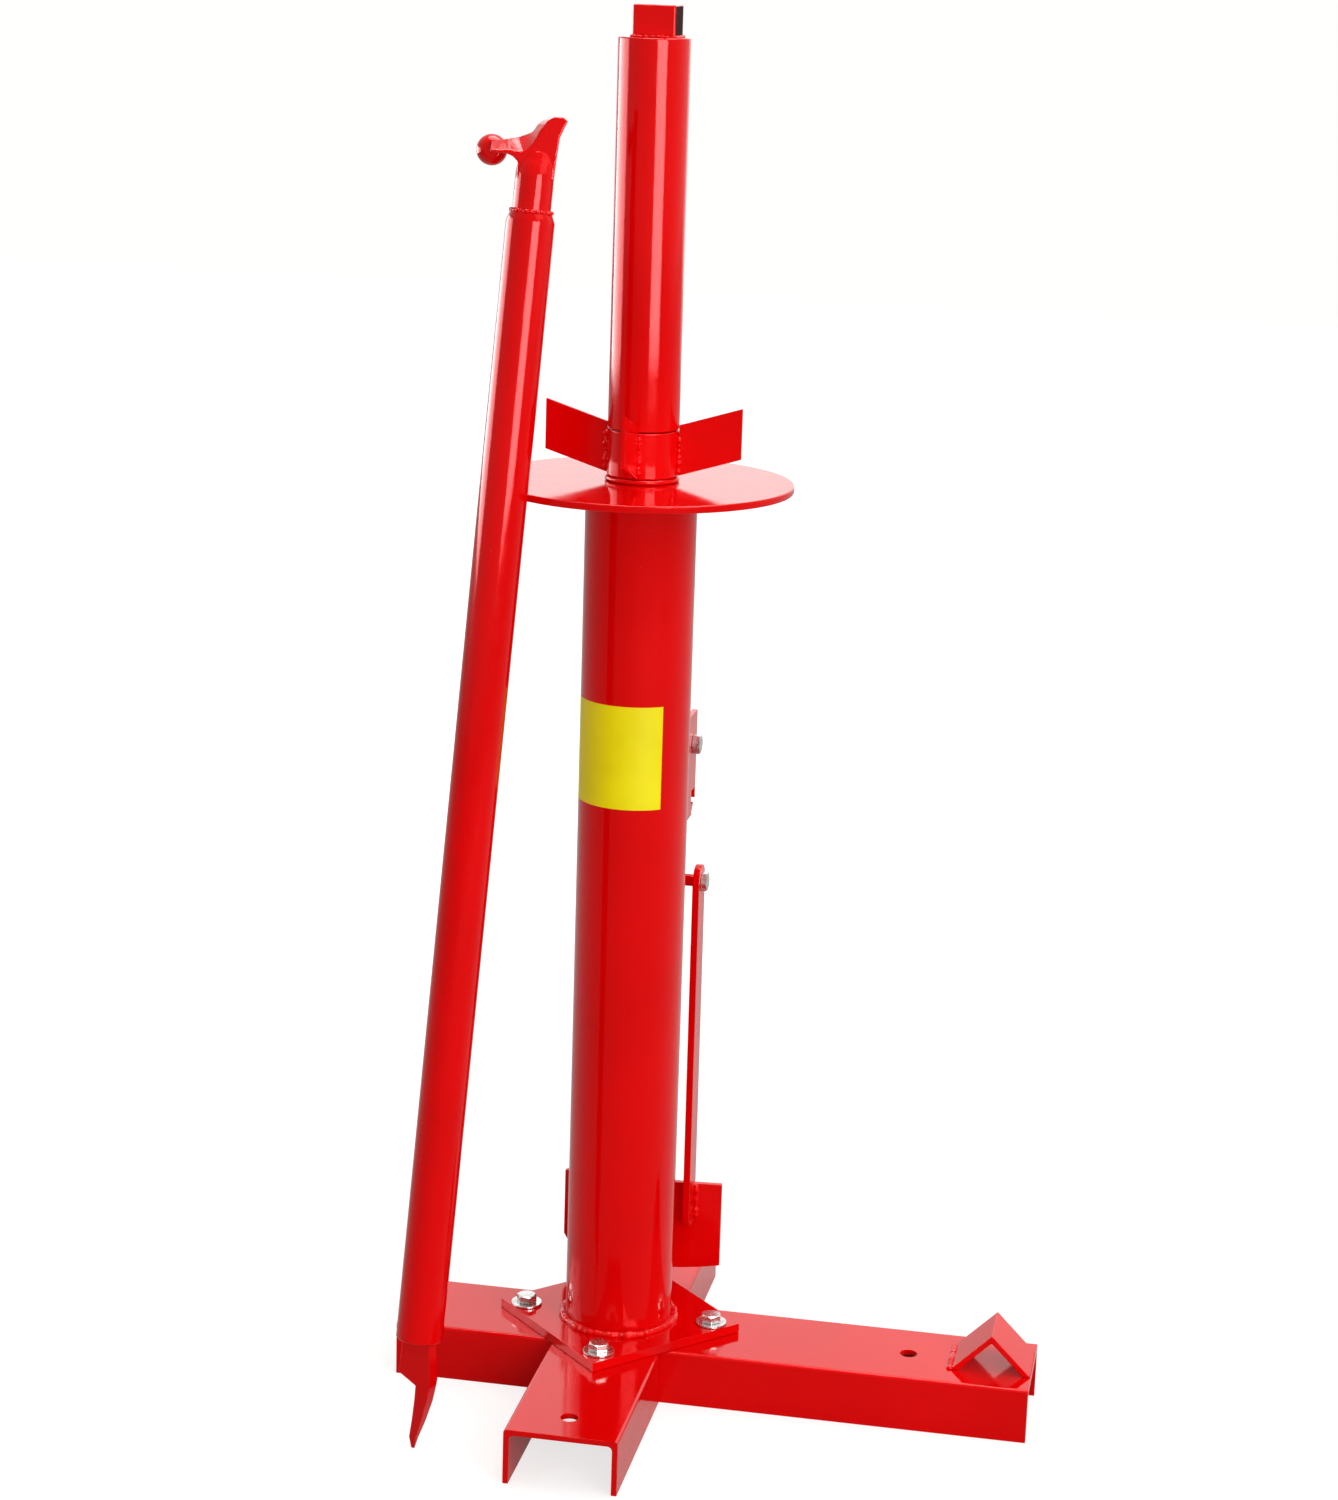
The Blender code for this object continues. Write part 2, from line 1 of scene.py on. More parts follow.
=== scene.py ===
import bpy, bmesh, json, math, random
from mathutils import Matrix, Vector


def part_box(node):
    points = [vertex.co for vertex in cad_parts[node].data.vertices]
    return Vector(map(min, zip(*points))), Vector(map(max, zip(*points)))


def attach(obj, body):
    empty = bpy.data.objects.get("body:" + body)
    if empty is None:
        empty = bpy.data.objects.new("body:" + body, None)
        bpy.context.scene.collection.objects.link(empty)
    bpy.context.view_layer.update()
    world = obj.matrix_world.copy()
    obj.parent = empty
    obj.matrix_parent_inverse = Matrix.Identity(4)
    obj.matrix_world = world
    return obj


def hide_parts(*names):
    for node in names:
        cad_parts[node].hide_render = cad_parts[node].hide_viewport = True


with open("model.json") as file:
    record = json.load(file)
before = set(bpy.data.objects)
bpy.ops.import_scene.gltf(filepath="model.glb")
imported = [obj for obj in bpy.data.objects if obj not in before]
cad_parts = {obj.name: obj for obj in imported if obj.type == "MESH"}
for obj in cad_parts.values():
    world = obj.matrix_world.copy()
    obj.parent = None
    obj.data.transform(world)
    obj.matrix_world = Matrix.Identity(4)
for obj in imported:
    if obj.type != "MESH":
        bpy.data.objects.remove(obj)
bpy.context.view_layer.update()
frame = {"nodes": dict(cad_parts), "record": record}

scene = bpy.context.scene
mm = 0.001
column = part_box("column_tube")
axisX = (column[0][0] + column[1][0]) / 2                # the column stands off the footprint's middle
onColumn = Matrix.Translation((axisX, 0, 0))


def halfWidth(node):                                     # outer radius of a round node
    low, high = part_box(node)
    return (high[0] - low[0]) / 2


def middle(node):
    low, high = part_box(node)
    return (Vector(low) + Vector(high)) / 2


boltCircle = middle("base_bolt_right").x - axisX
boltSpots = {"right": (boltCircle, 0), "rear": (0, boltCircle),
             "left": (-boltCircle, 0), "front": (0, -boltCircle)}                # from the column's axis


# small helpers round the operators
def clearPick():
    if bpy.context.mode != "OBJECT":
        bpy.ops.object.mode_set(mode="OBJECT")
    bpy.ops.object.select_all(action="DESELECT")


def pickOnly(ob):
    clearPick()
    ob.select_set(True)
    bpy.context.view_layer.objects.active = ob


def pickPart(ob, kind, test):
    pickOnly(ob)
    bpy.ops.object.mode_set(mode="EDIT")
    bpy.ops.mesh.select_mode(type=kind)
    bpy.ops.mesh.select_all(action="DESELECT")
    mesh = bmesh.from_edit_mesh(ob.data)
    for part in {"FACE": mesh.faces, "EDGE": mesh.edges, "VERT": mesh.verts}[kind]:
        if kind == "FACE":
            part.select_set(test(part.calc_center_median(), part.normal))
        elif kind == "EDGE":
            part.select_set(test(part.verts[0].co, part.verts[1].co))
        else:
            part.select_set(test(part.co))
    mesh.select_flush_mode()
    bmesh.update_edit_mesh(ob.data)


def editDone():
    bpy.ops.object.mode_set(mode="OBJECT")


def block(size, centre):
    clearPick()
    bpy.ops.mesh.primitive_cube_add(size=1, location=centre)
    ob = bpy.context.object
    ob.scale = size
    bpy.ops.object.transform_apply(location=True, rotation=True, scale=True)
    return ob


def rod(sides, radius, low, high, fill="NGON", at=(0, 0)):
    clearPick()
    bpy.ops.mesh.primitive_cylinder_add(vertices=sides, radius=radius, depth=high - low, end_fill_type=fill,
                                        location=(at[0], at[1], (low + high) / 2))
    bpy.ops.object.transform_apply(location=True, rotation=True, scale=True)
    return bpy.context.object


def addModifier(ob, kind, **values):
    m = ob.modifiers.new(kind.lower(), kind)
    for key, value in values.items():
        setattr(m, key, value)
    return m


def roundEdges(ob, width, segments=2, angle=40):
    addModifier(ob, "BEVEL", width=width, segments=segments, limit_method="ANGLE",
                angle_limit=math.radians(angle), harden_normals=False)


def applyAll(ob):
    pickOnly(ob)
    for m in list(ob.modifiers):
        bpy.ops.object.modifier_apply(modifier=m.name)


def place(ob, where):
    pickOnly(ob)
    ob.matrix_world = where @ ob.matrix_world
    bpy.ops.object.transform_apply(location=True, rotation=True, scale=True)


def cutWith(ob, tool, how="DIFFERENCE"):
    addModifier(ob, "BOOLEAN", operation=how, solver="EXACT", object=tool)
    applyAll(ob)
    bpy.data.objects.remove(tool, do_unlink=True)


def alongX(ob, y, z):
    place(ob, Matrix.Translation((0, y, z)) @ Matrix.Rotation(math.radians(90), 4, "Y"))
    return ob


def turnOut(ob):
    pickPart(ob, "FACE", lambda c, n: True)
    bpy.ops.mesh.normals_make_consistent(inside=False)
    editDone()


def makeWall(ob, thickness, even=False):                 # gives an open sheet its wall, inwards
    turnOut(ob)
    addModifier(ob, "SOLIDIFY", thickness=thickness, offset=-1, use_even_offset=even)
    applyAll(ob)
    turnOut(ob)


def settle(ob, name, body, finish, nodes=(), smooth=32):               # last step of every piece
    applyAll(ob)
    bpy.ops.object.transform_apply(location=True, rotation=True, scale=True)
    bpy.ops.object.shade_smooth_by_angle(angle=math.radians(smooth))
    addModifier(ob, "WEIGHTED_NORMAL", keep_sharp=True)   # broad faces stay flat beside their rounded edges
    applyAll(ob)
    ob.name = ob.data.name = name
    ob.data.materials.clear()
    ob.data.materials.append(finish)
    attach(ob, body)
    if nodes:
        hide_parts(*nodes)
    return ob


def twin(ob, where):
    pickOnly(ob)
    bpy.ops.object.duplicate(linked=False)
    other = bpy.context.object
    place(other, where)
    return other


# finishes
def newFinish(name):
    mat = bpy.data.materials.new(name)
    mat.use_nodes = True
    tree = mat.node_tree
    shader = tree.nodes["Principled BSDF"]
    coord = tree.nodes.new("ShaderNodeTexCoord")
    return mat, tree, shader, coord.outputs["Object"]


def noise(tree, coord, scale, detail=2.0, roughness=0.5):
    n = tree.nodes.new("ShaderNodeTexNoise")
    n.inputs["Scale"].default_value = scale
    n.inputs["Detail"].default_value = detail
    n.inputs["Roughness"].default_value = roughness
    tree.links.new(coord, n.inputs["Vector"])
    return n.outputs["Fac"]


def ramp(tree, source, stops):
    n = tree.nodes.new("ShaderNodeValToRGB")
    while len(n.color_ramp.elements) < len(stops):
        n.color_ramp.elements.new(0.5)
    for element, (position, colour) in zip(n.color_ramp.elements, stops):
        element.position = position
        element.color = (*colour, 1)
    tree.links.new(source, n.inputs["Fac"])
    return n.outputs["Color"]


def spread(tree, source, low, high):                     # noise mostly lies within its middle half
    n = tree.nodes.new("ShaderNodeMapRange")
    n.inputs["From Min"].default_value = 0.25
    n.inputs["From Max"].default_value = 0.75
    n.inputs["To Min"].default_value = low
    n.inputs["To Max"].default_value = high
    tree.links.new(source, n.inputs["Value"])
    return n.outputs["Result"]


def bumpFrom(tree, source, strength, distance, below=None):
    n = tree.nodes.new("ShaderNodeBump")
    n.inputs["Strength"].default_value = strength
    n.inputs["Distance"].default_value = distance
    tree.links.new(source, n.inputs["Height"])
    if below:
        tree.links.new(below, n.inputs["Normal"])
    return n.outputs["Normal"]


def tint(tree, factor, colourA, colourB):
    n = tree.nodes.new("ShaderNodeMix")
    n.data_type = "RGBA"
    tree.links.new(factor, n.inputs[0])
    for source, target in ((colourA, n.inputs[6]), (colourB, n.inputs[7])):
        if isinstance(source, tuple):
            target.default_value = (*source, 1)
        else:
            tree.links.new(source, target)
    return n.outputs[2]


def makeEnamel(name, look):
    mat, tree, shader, coord = newFinish(name)
    first, last = look["cloudSpan"]
    cloud = noise(tree, coord, look["cloudScale"], 3)
    cloud = ramp(tree, cloud, [(first, look["deep"]), (last, look["bright"])])
    dust = tree.nodes.new("ShaderNodeTexVoronoi")
    dust.inputs["Scale"].default_value = look["dustScale"]
    tree.links.new(coord, dust.inputs["Vector"])
    speck = ramp(tree, dust.outputs["Distance"], [(0.0, (1, 1, 1)), (look["dustSize"], (0, 0, 0))])
    first, last = look["patchSpan"]                      # the dust lies in a few patches only
    rare = ramp(tree, noise(tree, coord, look["patchScale"], 1), [(first, (0, 0, 0)), (last, (1, 1, 1))])
    both = tree.nodes.new("ShaderNodeMath")
    both.operation = "MULTIPLY"
    tree.links.new(speck, both.inputs[0])
    tree.links.new(rare, both.inputs[1])
    tree.links.new(tint(tree, both.outputs[0], cloud, look["dust"]), shader.inputs["Base Color"])
    wear = spread(tree, noise(tree, coord, look["wearScale"], 3), *look["rough"])
    tree.links.new(wear, shader.inputs["Roughness"])
    wave = bumpFrom(tree, noise(tree, coord, look["waveScale"], 2), look["wave"], look["waveDeep"])
    peel = bumpFrom(tree, noise(tree, coord, look["peelScale"], 1), look["peel"], look["peelDeep"], wave)
    tree.links.new(peel, shader.inputs["Normal"])
    shader.inputs["IOR"].default_value = look["ior"]
    shader.inputs["Specular Tint"].default_value = (*look["glossTint"], 1)
    return mat


def makeMetal(name, look):
    mat, tree, shader, coord = newFinish(name)
    tone = ramp(tree, noise(tree, coord, look["toneScale"], 3), [(0.3, look["dark"]), (0.7, look["light"])])
    tree.links.new(tone, shader.inputs["Base Color"])
    wear = spread(tree, noise(tree, coord, look["grainScale"], 3), *look["rough"])
    tree.links.new(wear, shader.inputs["Roughness"])
    grain = bumpFrom(tree, noise(tree, coord, look["grainScale"], 2), look["grain"], look["grainDeep"])
    tree.links.new(grain, shader.inputs["Normal"])
    shader.inputs["Metallic"].default_value = 1.0
    return mat


enamelLook = {"deep": (0.66, 0.0002, 0.0004), "bright": (0.76, 0.0004, 0.0008), "dust": (0.85, 0.12, 0.12),
              "cloudScale": 9.0, "cloudSpan": (0.3, 0.72), "dustScale": 190.0, "dustSize": 0.10,
              "patchScale": 57.0, "patchSpan": (0.66, 0.7), "wearScale": 45.0, "rough": (0.06, 0.11),
              "waveScale": 42.0, "wave": 0.07, "waveDeep": 0.0008, "peelScale": 950.0, "peel": 0.08,
              "peelDeep": 0.0002, "ior": 1.5, "glossTint": (1.0, 0.17, 0.17)}
redEnamel = makeEnamel("redEnamel", enamelLook)
weldLook = dict(enamelLook, waveScale=330.0, wave=0.5, peelScale=1700.0, peel=0.2)
weldEnamel = makeEnamel("redEnamelOnWeld", weldLook)
zincLook = {"dark": (0.42, 0.41, 0.40), "light": (0.70, 0.69, 0.68), "toneScale": 120.0,
            "grainScale": 700.0, "rough": (0.16, 0.32), "grain": 0.12, "grainDeep": 0.0002}
zincPlate = makeMetal("zincPlate", zincLook)
steelLook = {"dark": (0.10, 0.10, 0.10), "light": (0.26, 0.25, 0.24), "toneScale": 60.0,
             "grainScale": 500.0, "rough": (0.25, 0.42), "grain": 0.2, "grainDeep": 0.0002}
darkSteel = makeMetal("oiledSteel", steelLook)


def makeLabel(name, look):
    mat, tree, shader, coord = newFinish(name)
    tone = ramp(tree, noise(tree, coord, look["toneScale"], 2), [(0.3, look["shade"]), (0.7, look["colour"])])
    tree.links.new(tone, shader.inputs["Base Color"])
    wear = spread(tree, noise(tree, coord, look["wearScale"], 3), *look["rough"])
    tree.links.new(wear, shader.inputs["Roughness"])
    ripple = bumpFrom(tree, noise(tree, coord, look["rippleScale"], 2), look["ripple"], look["rippleDeep"])
    tree.links.new(ripple, shader.inputs["Normal"])
    shader.inputs["Specular IOR Level"].default_value = look["gloss"]
    return mat


filmLook = {"shade": (0.86, 0.73, 0.002), "colour": (0.92, 0.80, 0.003), "rough": (0.30, 0.42), "gloss": 0.12,
            "toneScale": 30.0, "wearScale": 220.0, "rippleScale": 90.0, "ripple": 0.12, "rippleDeep": 0.0003}
yellowVinyl = makeLabel("yellowVinyl", filmLook)
# near-black finish for the side of the square on the post that faces +x; what makes that side dark is not
# known
nearBlackSideLook = dict(filmLook, shade=(0.012, 0.002, 0.002), colour=(0.035, 0.004, 0.004),
                  rough=(0.55, 0.75), gloss=0.02)
blackPrimer = makeLabel("blackPrimer", nearBlackSideLook)

slotOf = {part["node"]: part["material_slot"] for part in frame["record"]["subparts"]}
finishOf = {"red_enamel": redEnamel, "zinc_plate": zincPlate, "oiled_steel": darkSteel}
for node in frame["nodes"].values():                     # carried-over pieces get the detailed finishes too
    for materialSlot in node.material_slots:
        materialSlot.material = finishOf[slotOf[node.name]]
print("finishes made")

# base channels
channel = {"wall": 4.0 * mm, "outerRound": 2.4 * mm, "innerRound": 3.5 * mm, "edge": 0.45 * mm,
           "anchorR": 6.0 * mm, "boltR": 4.4 * mm,
           "anchorRight": 210.9 * mm, "anchorLeft": 136.0 * mm, "anchorEnd": 160.2 * mm}
anchors = {"long_base_channel": [(axisX + channel["anchorRight"], 0), (axisX - channel["anchorLeft"], 0)],
           "front_leg_channel": [(axisX, -channel["anchorEnd"])],
           "rear_leg_channel": [(axisX, channel["anchorEnd"])]}


def makeChannel(node, name, along):
    low, high = map(Vector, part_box(node))
    ob = block(high - low, (low + high) / 2)
    axis = 0 if along == "x" else 1
    pickPart(ob, "FACE", lambda c, n: n.z < -0.9 or abs(n[axis]) > 0.9)
    bpy.ops.mesh.delete(type="FACE")
    editDone()
    makeWall(ob, channel["wall"], True)
    inner = high.z - channel["wall"] / 2
    for level, width in ((lambda z: z > inner, channel["outerRound"]),
                         (lambda z: high.z - channel["wall"] * 1.2 < z < inner, channel["innerRound"])):
        pickPart(ob, "EDGE", lambda a, b: level(a.z) and level(b.z) and abs(a[1 - axis] - b[1 - axis]) < 1e-6
                 and abs(a[axis] - b[axis]) > 0.05)
        bpy.ops.mesh.bevel(offset=width, segments=5, affect="EDGES")
        editDone()
    for x, y in anchors[node]:
        cutWith(ob, rod(48, channel["anchorR"], high.z - 0.01, high.z + 0.01, at=(x, y)))
    for x, y in boltSpots.values():
        x += axisX
        if low.x < x < high.x and low.y < y < high.y:
            cutWith(ob, rod(32, channel["boltR"], high.z - 0.01, high.z + 0.01, at=(x, y)))
    roundEdges(ob, channel["edge"], 2, 50)
    settle(ob, name, "stand", redEnamel, [node])


makeChannel("long_base_channel", "longBaseChannel", "x")
makeChannel("front_leg_channel", "frontLegChannel", "y")
makeChannel("rear_leg_channel", "rearLegChannel", "y")
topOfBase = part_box("long_base_channel")[1][2]

# base plate
plate = {"edge": 0.9 * mm, "holeR": 4.4 * mm}
low, high = map(Vector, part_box("base_plate"))
basePlate = rod(4, 1.0, low.z, high.z)
place(basePlate, Matrix.Translation((low + high) / 2 * Vector((1, 1, 0)))
      @ Matrix.Diagonal(((high.x - low.x) / 2, (high.y - low.y) / 2, 1, 1)))
for x, y in boltSpots.values():
    cutWith(basePlate, rod(32, plate["holeR"], low.z - 0.01, high.z + 0.01, at=(axisX + x, y)))
roundEdges(basePlate, plate["edge"], 3, 50)
settle(basePlate, "basePlate", "stand", redEnamel, ["base_plate"])
plateTop = high.z

# bolts
bolt = {"flats": 13.0 * mm, "head": 5.3 * mm, "shankR": 4.0 * mm, "crown": 0.93, "washerR": 11.0 * mm,
        "washer": 1.6 * mm, "washerHole": 4.4 * mm, "corner": 0.35 * mm, "dish": 0.12 * mm,
        "dishIn": 0.5 * mm, "baseShank": 23.0 * mm, "gap": 0.25 * mm,
        "turns": {"right": 12, "rear": 38, "left": 26, "front": 4}}


def makeHexHead(height):
    ob = rod(6, bolt["flats"] / math.sqrt(3), 0, height)
    pickPart(ob, "EDGE", lambda a, b: abs(a.z - b.z) > mm)
    bpy.ops.mesh.bevel(offset=bolt["corner"], segments=2, affect="EDGES")
    editDone()
    topR, reach = bolt["flats"] / 2 * bolt["crown"], height + 2 * mm
    clearPick()                                           # the corners are turned down by a flat cone
    bpy.ops.mesh.primitive_cone_add(vertices=72, radius1=topR + reach * 1.9, radius2=topR, depth=reach,
                                    location=(0, 0, height - reach / 2))
    cone = bpy.context.object
    bpy.ops.object.transform_apply(location=True, rotation=True, scale=True)
    cutWith(ob, cone, "INTERSECT")
    pickPart(ob, "FACE", lambda c, n: n.z > 0.95 and c.z > height - 0.1 * mm)
    bpy.ops.mesh.inset(thickness=bolt["dishIn"], depth=bolt["dish"])
    editDone()
    return ob


def makeBolt(height, shank):
    ob = makeHexHead(height)
    cutWith(ob, rod(40, bolt["shankR"], -shank, height / 2), "UNION")
    return ob


def makeWasher():
    ob = rod(56, bolt["washerR"], 0, bolt["washer"])
    cutWith(ob, rod(32, bolt["washerHole"], -0.01, 0.01))
    roundEdges(ob, 0.25 * mm, 2, 50)
    applyAll(ob)
    return ob


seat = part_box("base_washer_front")[0][2]
firstBolt, firstWasher = makeBolt(bolt["head"], bolt["baseShank"]), makeWasher()
for tag, (x, y) in boltSpots.items():
    spot = Matrix.Translation((axisX + x, y, seat))
    washer = twin(firstWasher, spot)
    settle(washer, "baseWasher." + tag, "stand", zincPlate, ["base_washer_" + tag])
    up = Matrix.Translation((0, 0, bolt["washer"] + bolt["gap"]))
    up = up @ Matrix.Rotation(math.radians(bolt["turns"][tag]), 4, "Z")
    hexBolt = twin(firstBolt, spot @ up)
    settle(hexBolt, "baseBolt." + tag, "stand", zincPlate, ["base_bolt_" + tag], 24)
for spare in (firstBolt, firstWasher):
    bpy.data.objects.remove(spare, do_unlink=True)
print("base done")


# round tubes and discs
def makeTube(radius, wall, low, high, sides=128, edge=0.8 * mm):
    ob = rod(sides, radius, low, high, "NOTHING")
    makeWall(ob, wall)
    roundEdges(ob, edge, 3, 50)
    return ob


def makeDisc(radius, low, high, bore=0.0, sides=128, edge=0.6 * mm):
    ob = rod(sides, radius, low, high)
    if bore:
        cutWith(ob, rod(64, bore, low - 0.01, high + 0.01))
    roundEdges(ob, edge, 3, 50)
    return ob


turned = {"columnWall": 3.0 * mm, "postWall": 3.2 * mm, "restBore": 15.3 * mm, "hubBore": 15.6 * mm,
         "restEdge": 0.9 * mm, "ringEdge": 1.2 * mm, "capEdge": 0.4 * mm, "postEdge": 1.0 * mm}
columnTube = makeTube(halfWidth("column_tube"), turned["columnWall"], column[0][2], column[1][2], 160)
place(columnTube, onColumn)
settle(columnTube, "columnTube", "stand", redEnamel, ["column_tube"])

low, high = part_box("wheel_rest_disc")
restTop = high[2]
restR = halfWidth("wheel_rest_disc")
wheelRest = makeDisc(restR, low[2], high[2], turned["restBore"], 192, turned["restEdge"])
place(wheelRest, onColumn)
settle(wheelRest, "wheelRestDisc", "stand", redEnamel, ["wheel_rest_disc"])

low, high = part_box("hub_washer")
hubRing = makeDisc(halfWidth("hub_washer"), low[2], high[2], turned["hubBore"], 96, turned["ringEdge"])
place(hubRing, onColumn)
settle(hubRing, "hubRing", "clamp_hub", redEnamel, ["hub_washer"])
low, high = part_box("hub_collar")
collar = makeDisc(halfWidth("hub_collar"), low[2], high[2], turned["hubBore"], 128, turned["restEdge"])
place(collar, onColumn)
settle(collar, "hubCollar", "clamp_hub", redEnamel, ["hub_collar"])
hubLow, hubHigh = low[2], high[2]

# hub vanes
vane = {"inner": 24.6 * mm, "outer": 67.3 * mm, "thick": 3.0 * mm, "tall": 34.4 * mm, "rise": 17.4,
        "angles": (0.0, 81.0, 180.0, 270.0), "foot": 0.6 * mm, "edge": 0.4 * mm}
vaneFoot = hubLow + vane["foot"]
for number, angle in enumerate(vane["angles"], 1):
    ob = block((vane["outer"] - vane["inner"], vane["thick"], vane["tall"]),
               ((vane["outer"] + vane["inner"]) / 2, 0, vaneFoot + vane["tall"] / 2))
    pickPart(ob, "VERT", lambda co: co.x > vane["outer"] - mm)
    lift = (vane["outer"] - vane["inner"]) * math.tan(math.radians(vane["rise"]))
    bpy.ops.transform.translate(value=(0, 0, lift))
    editDone()
    roundEdges(ob, vane["edge"], 2, 50)
    place(ob, onColumn @ Matrix.Rotation(math.radians(angle), 4, "Z"))
    settle(ob, "hubVane.%d" % number, "clamp_hub", redEnamel, ["hub_vane_%d" % number])

# upper post
low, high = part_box("upper_post_tube")
postTop = high[2]
post = makeTube(halfWidth("upper_post_tube"), turned["postWall"], low[2], postTop, 144, turned["postEdge"])
place(post, onColumn)
settle(post, "upperPostTube", "upper_post", redEnamel, ["upper_post_tube"])
low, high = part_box("post_cap")
cap = makeDisc(halfWidth("post_cap"), low[2], high[2], 0, 96, turned["capEdge"])
place(cap, onColumn)
settle(cap, "postCap", "upper_post", redEnamel, ["post_cap"])
low, high = map(Vector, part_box("post_tenon"))
tenon = block(high - low, (low + high) / 2)
roundEdges(tenon, 1.6 * mm, 4, 50)
settle(tenon, "postSquare", "upper_post", redEnamel, ["post_tenon"])
tenon.data.materials.append(blackPrimer)                 # the side of the square facing +x gets a near-black finish
for face in tenon.data.polygons:
    face.material_index = int(face.normal.x > 0.9)

# threaded spindle, seen when the hub is screwed up
thread = {"pitch": 4.0 * mm, "depth": 1.6 * mm, "radius": 15.0 * mm}
low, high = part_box("threaded_spindle")
ob = rod(64, thread["radius"], 0, thread["pitch"], "NOTHING")
pickPart(ob, "EDGE", lambda a, b: abs(a.z - b.z) > thread["pitch"] / 2)
bpy.ops.mesh.subdivide(number_cuts=3)
editDone()
pickPart(ob, "VERT", lambda co: abs(co.z - thread["pitch"] / 2) < 0.1 * thread["pitch"])
bpy.ops.transform.resize(value=(1 - thread["depth"] / thread["radius"],) * 2 + (1,))
editDone()
count = int((high[2] - low[2]) / thread["pitch"])
addModifier(ob, "ARRAY", count=count, use_relative_offset=False, use_constant_offset=True,
            constant_offset_displace=(0, 0, thread["pitch"]), use_merge_vertices=True,
            merge_threshold=0.05 * mm)
applyAll(ob)
end = count * thread["pitch"]
for level in (0, end):
    pickPart(ob, "EDGE", lambda a, b: abs(a.z - level) < 1e-5 and abs(b.z - level) < 1e-5)
    bpy.ops.mesh.edge_face_add()
    bpy.ops.mesh.inset(thickness=1.5 * mm, depth=0)
    editDone()
turnOut(ob)
stretch = Matrix.Diagonal((1, 1, (high[2] - low[2]) / end, 1))
place(ob, onColumn @ Matrix.Translation((0, 0, low[2])) @ stretch)
settle(ob, "threadedSpindle", "stand", darkSteel, ["threaded_spindle"], 20)
print("column, hub and post done")

# wheel stop
stop = {"wall": 4.0 * mm, "edge": 0.7 * mm}
low, high = map(Vector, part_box("wheel_stop_angle"))
ob = block(high - low, (low + high) / 2)
pickPart(ob, "FACE", lambda c, n: n.z < -0.9 or abs(n.y) > 0.9 or abs(n.x) > 0.9)
bpy.ops.mesh.delete(type="FACE")
editDone()
pickPart(ob, "EDGE", lambda a, b: abs(a.y - b.y) < 1e-6)
bpy.ops.mesh.subdivide(number_cuts=1)
editDone()
ridgeX = (low.x + high.x) / 2
pickPart(ob, "VERT", lambda co: abs(co.x - ridgeX) > mm)
bpy.ops.transform.translate(value=(0, 0, -(high.z - low.z)))
editDone()
makeWall(ob, stop["wall"], True)
for vertex in ob.data.vertices:                          # feet cut level with the leg
    if vertex.co.z < low.z - 1e-5:
        rise = low.z - vertex.co.z
        vertex.co.z = low.z
        vertex.co.x += rise if vertex.co.x < ridgeX else -rise
roundEdges(ob, stop["edge"], 3, 40)
settle(ob, "wheelStopAngle", "stand", redEnamel, ["wheel_stop_angle"])
stopLow, stopHigh = low, high

# lever bracket
bracket = {"wall": 4.0 * mm, "round": 5.0 * mm, "slot": (12 * mm, 10 * mm), "slotFromBack": 9.0 * mm,
           "slotUp": 13.5 * mm, "corner": 10 * mm, "boltR": 4.4 * mm, "edge": 0.4 * mm, "boltHead": 5.3 * mm}
low, high = map(Vector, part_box("lever_bracket"))
pivotY, pivotZ = (round(v, 6) for v in middle("bracket_bolt").yz)
armZ = round(middle("arm_bolt").z, 6)
ob = block(high - low, (low + high) / 2)
pickPart(ob, "FACE", lambda c, n: n.y > 0.9 or abs(n.z) > 0.9)
bpy.ops.mesh.delete(type="FACE")
editDone()
makeWall(ob, bracket["wall"], True)
pickPart(ob, "EDGE", lambda a, b: abs(a.z - b.z) > 0.05 and a.y < low.y + mm)
bpy.ops.mesh.bevel(offset=bracket["round"], segments=6, affect="EDGES")
editDone()
slotAt = (axisX, high.y - bracket["slotFromBack"], low.z + bracket["slotUp"])
cutWith(ob, block((0.09, *bracket["slot"]), slotAt))
corner = block((0.09, bracket["corner"] * math.sqrt(2), bracket["corner"] * 2), (0, 0, 0))
place(corner, Matrix.Translation((axisX, high.y, low.z)) @ Matrix.Rotation(math.radians(45), 4, "X"))
cutWith(ob, corner)
hole = alongX(rod(32, bracket["boltR"], -0.06, 0.06), pivotY, pivotZ)
place(hole, onColumn)
cutWith(ob, hole)
roundEdges(ob, bracket["edge"], 2, 50)
settle(ob, "leverBracket", "stand", redEnamel, ["lever_bracket"])


def crossBolt(node, name, body, height, z):
    low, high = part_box(node)
    ob = makeBolt(height, high[0] - low[0] - height)
    place(ob, Matrix.Translation((high[0] - height, pivotY, z)) @ Matrix.Rotation(math.radians(90), 4, "Y"))
    settle(ob, name, body, zincPlate, [node], 24)


armPin = {"head": 4.0 * mm, "paintR": 4.35 * mm, "paintLong": 14.0 * mm, "edge": 0.3 * mm,
          "paintFrom": {"right": 20.2 * mm, "left": -34.2 * mm}}
crossBolt("bracket_bolt", "bracketBolt", "stand", bracket["boltHead"], pivotZ)
crossBolt("arm_bolt", "armBolt", "lever_socket", armPin["head"], armZ)
for tag, paintFrom in armPin["paintFrom"].items():       # the pin is painted over beside the arms
    sleeve = alongX(rod(40, armPin["paintR"], 0, armPin["paintLong"]), 0, 0)
    place(sleeve, Matrix.Translation((axisX + paintFrom, pivotY, armZ)))
    roundEdges(sleeve, armPin["edge"], 2, 50)
    settle(sleeve, "armPinPaint." + tag, "lever_socket", redEnamel)

